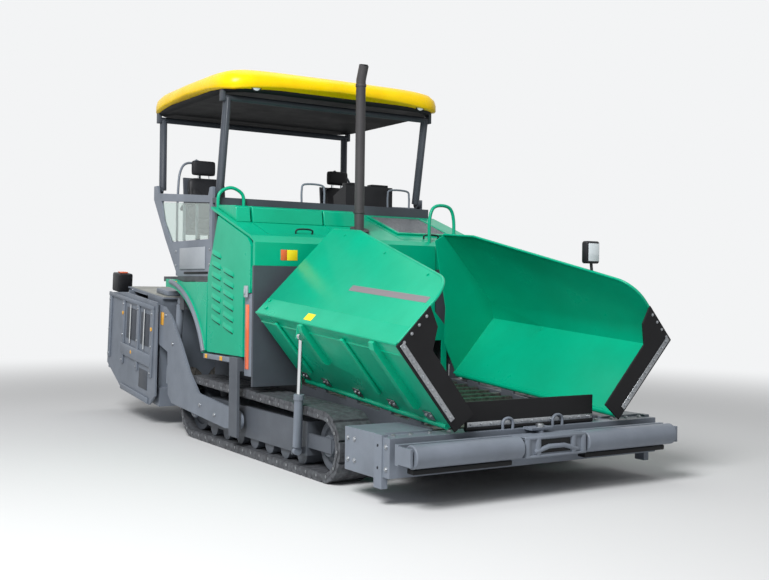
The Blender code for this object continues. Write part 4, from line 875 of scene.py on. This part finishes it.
# %% Seat pads
def seat_pad(length, width, thick, channels):
    """Superellipsoid pad; top rows are pressed down along the channels by a narrow bell curve."""
    plan = superellipse(64, 6)
    waist = 1 - 0.025 * (1 - np.minimum(np.abs(plan[:, 0]), np.abs(plan[:, 1])))
    lift = np.radians(np.linspace(-86, 88, 34))[:, None]
    reach = np.cos(lift) ** 0.32
    x = reach * plan[:, 0] * waist * width / 2
    y = reach * plan[:, 1] * waist * length / 2
    z = np.sign(np.sin(lift)) * np.abs(np.sin(lift)) ** 0.55 * np.where(lift < 0, 0.28, 0.62) * thick + 0 * x
    crown = 0.10 * thick * (1 - (2 * x / width) ** 2) * (1 - (2 * y / length) ** 2) * (lift > 0)
    press = sum(np.exp(-(((y - c) / 0.007) ** 2)) for c in channels) * 0.008 * (lift > 0.35)
    return net(np.stack([x, y, z + crown - press], axis=-1))


SEAT_X, SEAT_Y, PAN = 0.80, 1.16, 2.02
BACK_LEAN = math.radians(7.5)


def base_place(p):
    """A pad's own points to the seat pan."""
    return p + np.array([SEAT_X, SEAT_Y - 0.03, PAN + 0.034])


def back_place(p):
    """A pad's own points stood up and leant back against the seat's frame."""
    c, s = math.cos(BACK_LEAN), math.sin(BACK_LEAN)
    y, z = -p[:, 2], p[:, 1]
    return np.stack([SEAT_X + p[:, 0], SEAT_Y + 0.212 + c * y + s * z, PAN + 0.33 - s * y + c * z], axis=1)


for label, side in SIDES:
    base = build(
        f"seat_base_pad_{label}", [seat_pad(0.40, 0.42, 0.115, (-0.07, 0.02, 0.11))], seat_vinyl,
        f"seat_{label}", side, place=base_place, sharp=80, levels=1,
    )
    back = build(
        f"seat_back_pad_{label}", [seat_pad(0.44, 0.41, 0.085, (-0.12, -0.02, 0.08))], seat_vinyl,
        f"seat_{label}", side, place=back_place, sharp=80, levels=1,
    )
    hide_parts(f"seat_cushion_{label}")
    head = block((SEAT_X - 0.13, 1.425, 2.60), (SEAT_X + 0.13, 1.50, 2.76), 0.03)
    prongs = [sweep([(SEAT_X + x, 1.455, 2.54), (SEAT_X + x, 1.462, 2.64)], 0.008) for x in (-0.06, 0.06)]
    build(f"head_rest_{label}", [head], seat_vinyl, f"seat_{label}", side, levels=1)
    build(f"head_rest_prongs_{label}", prongs, chrome_rod, f"seat_{label}", side)
    for arm, x in (("outer", 0.262), ("inner", -0.262)):
        rest = curve(
            [
                (SEAT_X + x, 1.38, 2.24), (SEAT_X + x, 1.30, 2.27), (SEAT_X + x, 1.12, 2.27),
                (SEAT_X + x, 1.05, 2.265),
            ],
            6,
        )
        build(
            f"arm_rest_{arm}_{label}", [sweep(rest, [0.02] * (len(rest) - 1) + [0.012], 14)], black_plastic,
            f"seat_{label}", side,
        )
        build(
            f"arm_bracket_{arm}_{label}",
            [sweep([(SEAT_X + x * 0.82, 1.42, 2.23), (SEAT_X + x, 1.39, 2.235)], 0.012)], anthracite_paint,
            f"seat_{label}", side,
        )

# %% [markdown]
# ## Control console
# The console's sloping face has a screen, rows of keys and knobs, and two levers, all blank of lettering.

# %% Console
def on_console(p):
    """(x across, distance up the sloping face, height off it) on the console's rear face."""
    slope = math.atan2(0.28, 0.06)
    base = np.array([0.58, 0.60, 2.12])
    up = np.array([0, math.cos(slope), math.sin(slope)])
    out = np.array([0, math.sin(slope), -math.cos(slope)])
    return base + p[:, :1] * np.array([1.0, 0, 0]) + p[:, 1:2] * up + p[:, 2:] * out


build(
    "console_screen", [block((-0.10, 0.10, 0.0005), (0.10, 0.24, 0.010), 0.004)], screen_glass, "console",
    place=on_console,
)
keys = [
    block((x, v, 0.0005), (x + 0.022, v + 0.018, 0.008), 0.003)
    for x in (-0.24, -0.21, -0.18, -0.15, 0.13, 0.16, 0.19, 0.22) for v in (0.06, 0.09, 0.12, 0.15)
]
build("console_keys", keys, slate_paint, "console", place=on_console)
knobs = [
    turning([(0.014, 0.0005), (0.013, 0.018), (0.010, 0.020)], (x, 0.045, 0), (0, 0, 1), 16)
    for x in (-0.09, -0.03, 0.03, 0.09)
]
build("console_knobs", knobs, amber_lens, "console", place=on_console)
top_pods = [
    block((0.34, 0.42, 2.5005), (0.50, 0.55, 2.53), 0.01),
    block((0.62, 0.42, 2.5005), (0.82, 0.52, 2.525), 0.008),
]
build("console_top", top_pods, black_plastic, "console")
hand_grips = [
    sweep([(x, 0.575, 2.43), (x, 0.60, 2.48), (x, 0.61, 2.54)], [0.006, 0.012, 0.016], 12)
    for x in (0.40, 0.76)
]
build("console_levers", hand_grips, black_and_painted_shade, "console")

# %% [markdown]
# ## Tracks
# A track chain is made of links joined by pins. Each link is a slim plate with two eyes. All follow one
# closed path: a straight run, an arc round the sprocket, the top run and an arc round the idler.

# %% Track links
IDLER_Y, IDLER_R, SPROCKET_Y, SPROCKET_R, SHOES = -1.87, 0.27, 0.72, 0.30, 42
LINK_X, LINK_STAGGER, PIN_DEPTH = 1.1902, 0.0022, 0.045
HUB_X, HUB_BOLT_X, HUB_BOLT_CIRCLE, HUB_BOLTS = 1.155, 1.169, 0.085, 10


def track_path(distance, inset):
    """(y, z) at those distances round the loop, drawn in by inset, and the loop's length."""
    span = SPROCKET_Y - IDLER_Y
    lean = 2 * math.atan2(SPROCKET_R - IDLER_R, span)
    parts = [span, SPROCKET_R * (math.pi + lean), span, IDLER_R * (math.pi - lean)]
    edges = np.cumsum(parts)
    d = np.mod(distance, edges[-1])
    one, two, three = (d < e for e in edges[:3])
    turn_a = -math.pi / 2 + (d - edges[0]) / SPROCKET_R
    turn_b = math.pi / 2 + lean + (d - edges[2]) / IDLER_R
    share = (d - edges[1]) / span
    up_y, up_z = -math.sin(lean), math.cos(lean)
    sprocket, idler = SPROCKET_R - inset, IDLER_R - inset
    top_y = (SPROCKET_Y + up_y * sprocket) * (1 - share) + (IDLER_Y + up_y * idler) * share
    top_z = (SPROCKET_R + up_z * sprocket) * (1 - share) + (IDLER_R + up_z * idler) * share
    y = np.select(
        [one, two, three],
        [IDLER_Y + d, SPROCKET_Y + sprocket * np.cos(turn_a), top_y],
        IDLER_Y + idler * np.cos(turn_b),
    )
    z = np.select(
        [one, two, three],
        [inset + 0 * d, SPROCKET_R + sprocket * np.sin(turn_a), top_z],
        IDLER_R + idler * np.sin(turn_b),
    )
    return np.stack([y, z], axis=-1), edges[-1]


_, loop_length = track_path(np.zeros(1), 0.0)
pitch = loop_length / SHOES
starts = np.arange(SHOES) * pitch + 0.5 * pitch
eyes, _ = track_path(starts, PIN_DEPTH)
next_eyes, _ = track_path(starts + pitch, PIN_DEPTH)
for label, side in SIDES:
    links, pins = [], []
    for i, (first, last) in enumerate(zip(eyes, next_eyes)):
        way = (last - first) / np.linalg.norm(last - first)
        square = np.array([-way[1], way[0]])
        reach = np.linalg.norm(last - first)
        half = [
            (-0.014, -0.016), (0.014, -0.019), (0.5 * reach, -0.012), (reach - 0.014, -0.019),
            (reach + 0.010, -0.014),
        ]
        outline = half + [(along, -up) for along, up in reversed(half)]
        x = LINK_X + LINK_STAGGER * (i % 2)
        links.append(slab(outline, (x, *first), (0, *way), (0, *square), 0.0025))
        pins.append((1.1925, *first))
    pin = turning([(0.012, 0), (0.012, 0.004), (0.009, 0.0055)], (0, 0, 0), (1, 0, 0), 10)
    build(f"track_links_{label}", links, track_iron, "tractor", side)
    build(f"track_pins_{label}", [repeat(pin, pins)], plain_steel, "tractor", side)
    hub = [
        turning(
            [(0.11, 0), (0.105, 0.014), (0.06, 0.018), (0.055, 0.03), (0.02, 0.034)],
            (HUB_X, SPROCKET_Y, SPROCKET_R), (1, 0, 0), 32,
        )
    ]
    ring = np.radians(np.arange(0, 360, 360 / HUB_BOLTS))
    build(f"sprocket_cap_{label}", hub, slate_paint, "tractor", side)
    round_y, round_z = HUB_BOLT_CIRCLE * np.cos(ring), HUB_BOLT_CIRCLE * np.sin(ring)
    spots = np.stack([np.full(HUB_BOLTS, HUB_BOLT_X), SPROCKET_Y + round_y, SPROCKET_R + round_z], axis=1)
    build(f"sprocket_bolts_{label}", [bolts(spots, (1, 0, 0), 0.008)], zinc_plate, "tractor", side)
print("track pitch mm", round(1000 * pitch))

# %% [markdown]
# ## Front deck and push rollers
# Two lifting loops, rows of bolts and the rollers' end caps finish the front. Rollers carry the feed truck's
# tyres, so their ends are plain caps.

# %% Front details
ROLLER_Y, ROLLER_Z, ROLLER_ENDS = -3.085, 0.37, (("inner", 0.302, -1), ("outer", 1.203, 1))
for label, side in SIDES:
    for end, x, way in ROLLER_ENDS:
        cap = turning([(0.062, 0), (0.060, 0.0015), (0.03, 0.0022)], (x, ROLLER_Y, ROLLER_Z), (way, 0, 0), 28)
        build(f"roller_cap_{end}_{label}", [cap], anthracite_paint, f"push_roller_body_{label}", side)
    loop = hoop(0.19, 0.28, -2.885, (0.46, 0.52, 0.545), 0.025)
    build(f"deck_loop_{label}", [sweep(loop, 0.011)], slate_paint, "tractor", side)
    spots = [(x, -2.805, 0.47) for x in (0.40, 0.52, 0.70, 0.86, 1.02, 1.16)]
    build(f"deck_bolts_{label}", [bolts(spots, (0, 0, 1), 0.013)], zinc_plate, "tractor", side)
    # A near-black block beneath the rollers: painted shade under them.
    roller_shade_block = [block((0.34, -3.07, 0.245), (1.17, -2.99, 0.282), 0.008)]
    build(f"under_roller_shade_{label}", roller_shade_block, black_and_painted_shade, "push_beam_body", side)
    ends = bolts([(1.25, y, z) for y in (-2.86, -2.77, -2.45, -2.36) for z in (0.26, 0.41)], (1, 0, 0), 0.012)
    build(f"end_box_bolts_{label}", [ends], zinc_plate, "tractor", side)
casting = [block((x, -3.150, 0.30), (x + 0.05, -2.99, 0.445), 0.018) for x in (-0.285, -0.19, 0.14, 0.235)]
casting += [
    block((-0.285, -3.148, z0), (0.285, -3.05, z1), 0.008) for z0, z1 in ((0.425, 0.447), (0.297, 0.317))
]
casting += [
    sweep(
        [(-0.20, -3.135, 0.335), (-0.07, -3.142, 0.37), (0.07, -3.142, 0.37), (0.20, -3.135, 0.335)],
        0.017,
        14,
    )
]
build("push_casting", casting, slate_paint, "push_beam_body")
# A thin dark plate on the casting's front: painted shade in its pocket.
build(
    "push_pocket_shade", [block((-0.135, -3.1372, 0.325), (0.135, -3.1352, 0.42), 0.0008)], black_and_painted_shade,
    "push_beam_body",
)
build(
    "push_pin", [turning([(0.03, 0), (0.03, 0.02), (0.02, 0.026)], (0, -2.96, 0.48), (0, 0, 1), 20)],
    zinc_plate, "tractor",
)

# %% [markdown]
# ## Screed ends
# The screed hangs raised, turned about its tow points. Its details are drawn level and then raised by one
# function. End plates carry beams, posts and height screws; black control boxes stand at the rear corners.

# %% Screed details
TOW_Y, TOW_Z, LIFT = -0.415, 0.30, math.radians(5.5)


def raised(p):
    """Level screed points turned up about the tow points."""
    c, s = math.cos(LIFT), math.sin(LIFT)
    y, z = p[:, 1] - TOW_Y, p[:, 2] - TOW_Z
    return np.stack([p[:, 0], TOW_Y + c * y - s * z, TOW_Z + s * y + c * z], axis=1)


PLATE_X, ARM_X = 1.2622, 1.2222
UPRIGHTS = ((1.66, 1.74), (2.10, 2.17), (2.58, 2.65), (3.05, 3.12))
RECESS_SHADES = ((1.80, 2.06, 0.60, 0.94), (2.22, 2.52, 0.60, 0.94), (1.80, 2.06, 0.14, 0.34))  # y0, y1, z0, z1
for label, side in SIDES:
    end = f"extension_{label}"
    beams = [
        block((PLATE_X, 1.66, 1.00), (PLATE_X + 0.02, 3.13, 1.045), 0.006),
        block((PLATE_X, 1.70, 0.40), (PLATE_X + 0.024, 2.66, 0.53), 0.008),
        block((PLATE_X, 1.74, 0.012), (PLATE_X + 0.02, 2.62, 0.075), 0.008),
    ]
    beams += [block((PLATE_X, y0, 0.30), (PLATE_X + 0.018, y1, 1.03), 0.006) for y0, y1 in UPRIGHTS]
    build(f"end_plate_beams_{label}", beams, slate_paint, end, side, place=raised)
    # Thin dark plates over the recesses: painted shade in them.
    dark = [block((PLATE_X, y0, z0), (PLATE_X + 0.004, y1, z1), 0.001) for y0, y1, z0, z1 in RECESS_SHADES]
    build(f"end_plate_recess_shades_{label}", dark, anthracite_paint, end, side, place=raised)
    screws = [sweep([(PLATE_X + 0.014, y, 0.56), (PLATE_X + 0.014, y, 0.98)], 0.010) for y in (1.93, 2.37)]
    build(f"end_plate_screws_{label}", screws, chrome_rod, end, side, place=raised)
    caps = [
        turning([(0.022, 0), (0.022, 0.006), (0.014, 0.010)], (PLATE_X + 0.018, y, z), (1, 0, 0), 18)
        for y, z in ((1.70, 0.80), (2.30, 0.47), (2.615, 0.86))
    ]
    build(f"end_plate_caps_{label}", caps, amber_lens, end, side, place=raised)
    heads = bolts(
        [(PLATE_X + 0.018, y, z) for y in (1.70, 2.135, 2.615, 3.085) for z in (0.34, 0.62, 0.96)],
        (1, 0, 0),
        0.010,
    )
    build(f"end_plate_bolts_{label}", [heads], zinc_plate, end, side, place=raised)
    box = [
        block((1.10, 2.86, 1.06), (1.27, 3.08, 1.27), 0.02),
        block((1.17, 2.90, 0.98), (1.21, 2.96, 1.08), 0.005),
    ]
    build(f"control_box_{label}", box, black_plastic, end, side, place=raised)
    build(
        f"control_box_lens_{label}", [block((1.14, 2.92, 1.27), (1.23, 3.02, 1.285), 0.008)], orange_lens,
        end, side, place=raised,
    )
    deck = block((0.02, 1.64, 1.1402), (1.18, 2.70, 1.146), 0.002)
    build(f"screed_deck_plate_{label}", [deck], deck_plate, "screed", side, place=raised)
    covers = [
        block((0.06, 1.70, 1.1462), (0.56, 2.04, 1.20), 0.012),
        block((0.62, 1.70, 1.1462), (1.12, 2.04, 1.20), 0.012),
    ]
    build(f"screed_covers_{label}", covers, slate_paint, "screed", side, place=raised)
    walkway = block((0.01, 2.62, 0.1902), (1.235, 3.15, 0.196), 0.002)
    build(f"walkway_plate_{label}", [walkway], deck_plate, end, side, place=raised)
    markers = [block((ARM_X, 1.50, 0.87), (ARM_X + 0.005, 1.58, 1.00), 0.003)]
    build(f"arm_marker_{label}", markers, amber_lens, "screed", side, place=raised)
    heads = bolts(
        [
            (ARM_X, y, z)
            for y, z in (
                (-0.35, 0.24), (0.10, 0.24), (0.45, 0.26), (1.22, 0.72), (1.45, 0.98), (1.70, 0.98),
                (1.72, 0.84),
            )
        ],
        (1, 0, 0),
        0.013,
    )
    build(f"arm_bolts_{label}", [heads], zinc_plate, "screed", side, place=raised)

# %% [markdown]
# ## Camera, light and floor
# The camera stands low at the machine's front right corner. The light is soft and plain: a pale world, one
# large lamp above and one to the side. The floor fades into the background, so no horizon shows.

# %% Camera
YAW, PITCH, ROLL = math.radians(32.265), math.radians(0.271), math.radians(0.747)
CAMERA_PLACE, LENS = (-4.962, -8.692, 1.490), 48.56
ahead = np.array([math.sin(YAW) * math.cos(PITCH), math.cos(YAW) * math.cos(PITCH), -math.sin(PITCH)])
level = np.array([math.cos(YAW), -math.sin(YAW), 0.0])
rise = np.cross(level, ahead)
across = math.cos(ROLL) * level + math.sin(ROLL) * rise
upward = math.cos(ROLL) * rise - math.sin(ROLL) * level
camera_data = bpy.data.cameras.new("camera")
camera_data.lens, camera_data.sensor_width = LENS, 36.0
camera = bpy.data.objects.new("camera", camera_data)
bpy.context.scene.collection.objects.link(camera)
matrix = np.eye(4)
matrix[:3, 0], matrix[:3, 1], matrix[:3, 2], matrix[:3, 3] = across, upward, -ahead, CAMERA_PLACE
camera.matrix_world = Matrix(matrix.tolist())
bpy.context.scene.camera = camera

# %% Light
def softbox(name, place, target, size, watts):
    """A square lamp that looks at the target."""
    light = bpy.data.lights.new(name, "AREA")
    light.shape, light.size, light.energy = "SQUARE", size, watts
    holder = bpy.data.objects.new(name, light)
    away = np.asarray(place, float) - np.asarray(target, float)
    pose = np.eye(4)
    pose[:3, :3] = frame_of(away).T
    pose[:3, 3] = place
    holder.matrix_world = Matrix(pose.tolist())
    bpy.context.scene.collection.objects.link(holder)


softbox("side_softbox", (-7.4, -6.0, 8.6), (0, -0.5, 1), 4.5, 1450)
softbox("overhead_softbox", (1.0, 1.0, 10.0), (0, 0, 1), 6.0, 160)
world = bpy.data.worlds.new("studio")
bpy.context.scene.world = world
world.use_nodes = True
sky = world.node_tree
sky.nodes.clear()
rays = add(sky, "ShaderNodeLightPath")
seen = add(
    sky, "ShaderNodeMath", links={0: rays.outputs["Is Camera Ray"], 1: rays.outputs["Is Glossy Ray"]},
    operation="MAXIMUM",
)
seen = add(
    sky, "ShaderNodeMath", links={0: seen.outputs["Value"], 1: rays.outputs["Is Transmission Ray"]},
    operation="MAXIMUM",
)
BACKGROUND = linear("#F3F4F5")
lit = add(sky, "ShaderNodeBackground", {"Color": (1, 1, 1, 1), "Strength": 0.27})
shown = add(sky, "ShaderNodeBackground", {"Color": BACKGROUND, "Strength": 1.0})
mixed = add(
    sky,
    "ShaderNodeMixShader",
    links={0: seen.outputs["Value"], 1: lit.outputs["Background"], 2: shown.outputs["Background"]},
)
add(sky, "ShaderNodeOutputWorld", links={"Surface": mixed.outputs["Shader"]})

# %% Floor
radius = np.array([0.01, 2, 4, 6, 8, 11, 15, 22, 40, 80.0])[:, None]
turn = np.linspace(0, 2 * np.pi, 48, endpoint=False)[None]
ground = np.stack([radius * np.cos(turn), radius * np.sin(turn), 0 * radius * turn - 0.0005], axis=-1)
floor_mesh = bpy.data.meshes.new("studio_floor")
points, faces = net(ground)
floor_mesh.from_pydata(points.tolist(), [], [f[::-1] if len(f) < 5 else f for f in faces[:-1]])
floor_paint, floor_tree, floor_shader = shader_of(
    "pale_studio_floor", "#D9DADB", Roughness=0.8, Specular_IOR_Level=0.1
)
place = add(floor_tree, "ShaderNodeTexCoord")
distance = add(floor_tree, "ShaderNodeVectorMath", links={0: place.outputs["Object"]}, operation="LENGTH")
far = add(
    floor_tree, "ShaderNodeMapRange", {"From Min": 4.5, "From Max": 12.0},
    {"Value": distance.outputs["Value"]}, interpolation_type="SMOOTHSTEP",
)
floor_rays = add(floor_tree, "ShaderNodeLightPath")
fade = add(
    floor_tree, "ShaderNodeMath", links={0: far.outputs["Result"], 1: floor_rays.outputs["Is Camera Ray"]},
    operation="MULTIPLY",
)
glow = add(floor_tree, "ShaderNodeEmission", {"Color": BACKGROUND, "Strength": 1.0})
blend_out = add(
    floor_tree,
    "ShaderNodeMixShader",
    links={0: fade.outputs["Value"], 1: floor_shader.outputs["BSDF"], 2: glow.outputs["Emission"]},
)
floor_tree.links.new(blend_out.outputs["Shader"], floor_tree.nodes["Material Output"].inputs["Surface"])
floor_mesh.materials.append(floor_paint)
floor = bpy.data.objects.new("studio_floor", floor_mesh)
bpy.context.scene.collection.objects.link(floor)
bpy.context.scene.view_settings.view_transform = "Standard"
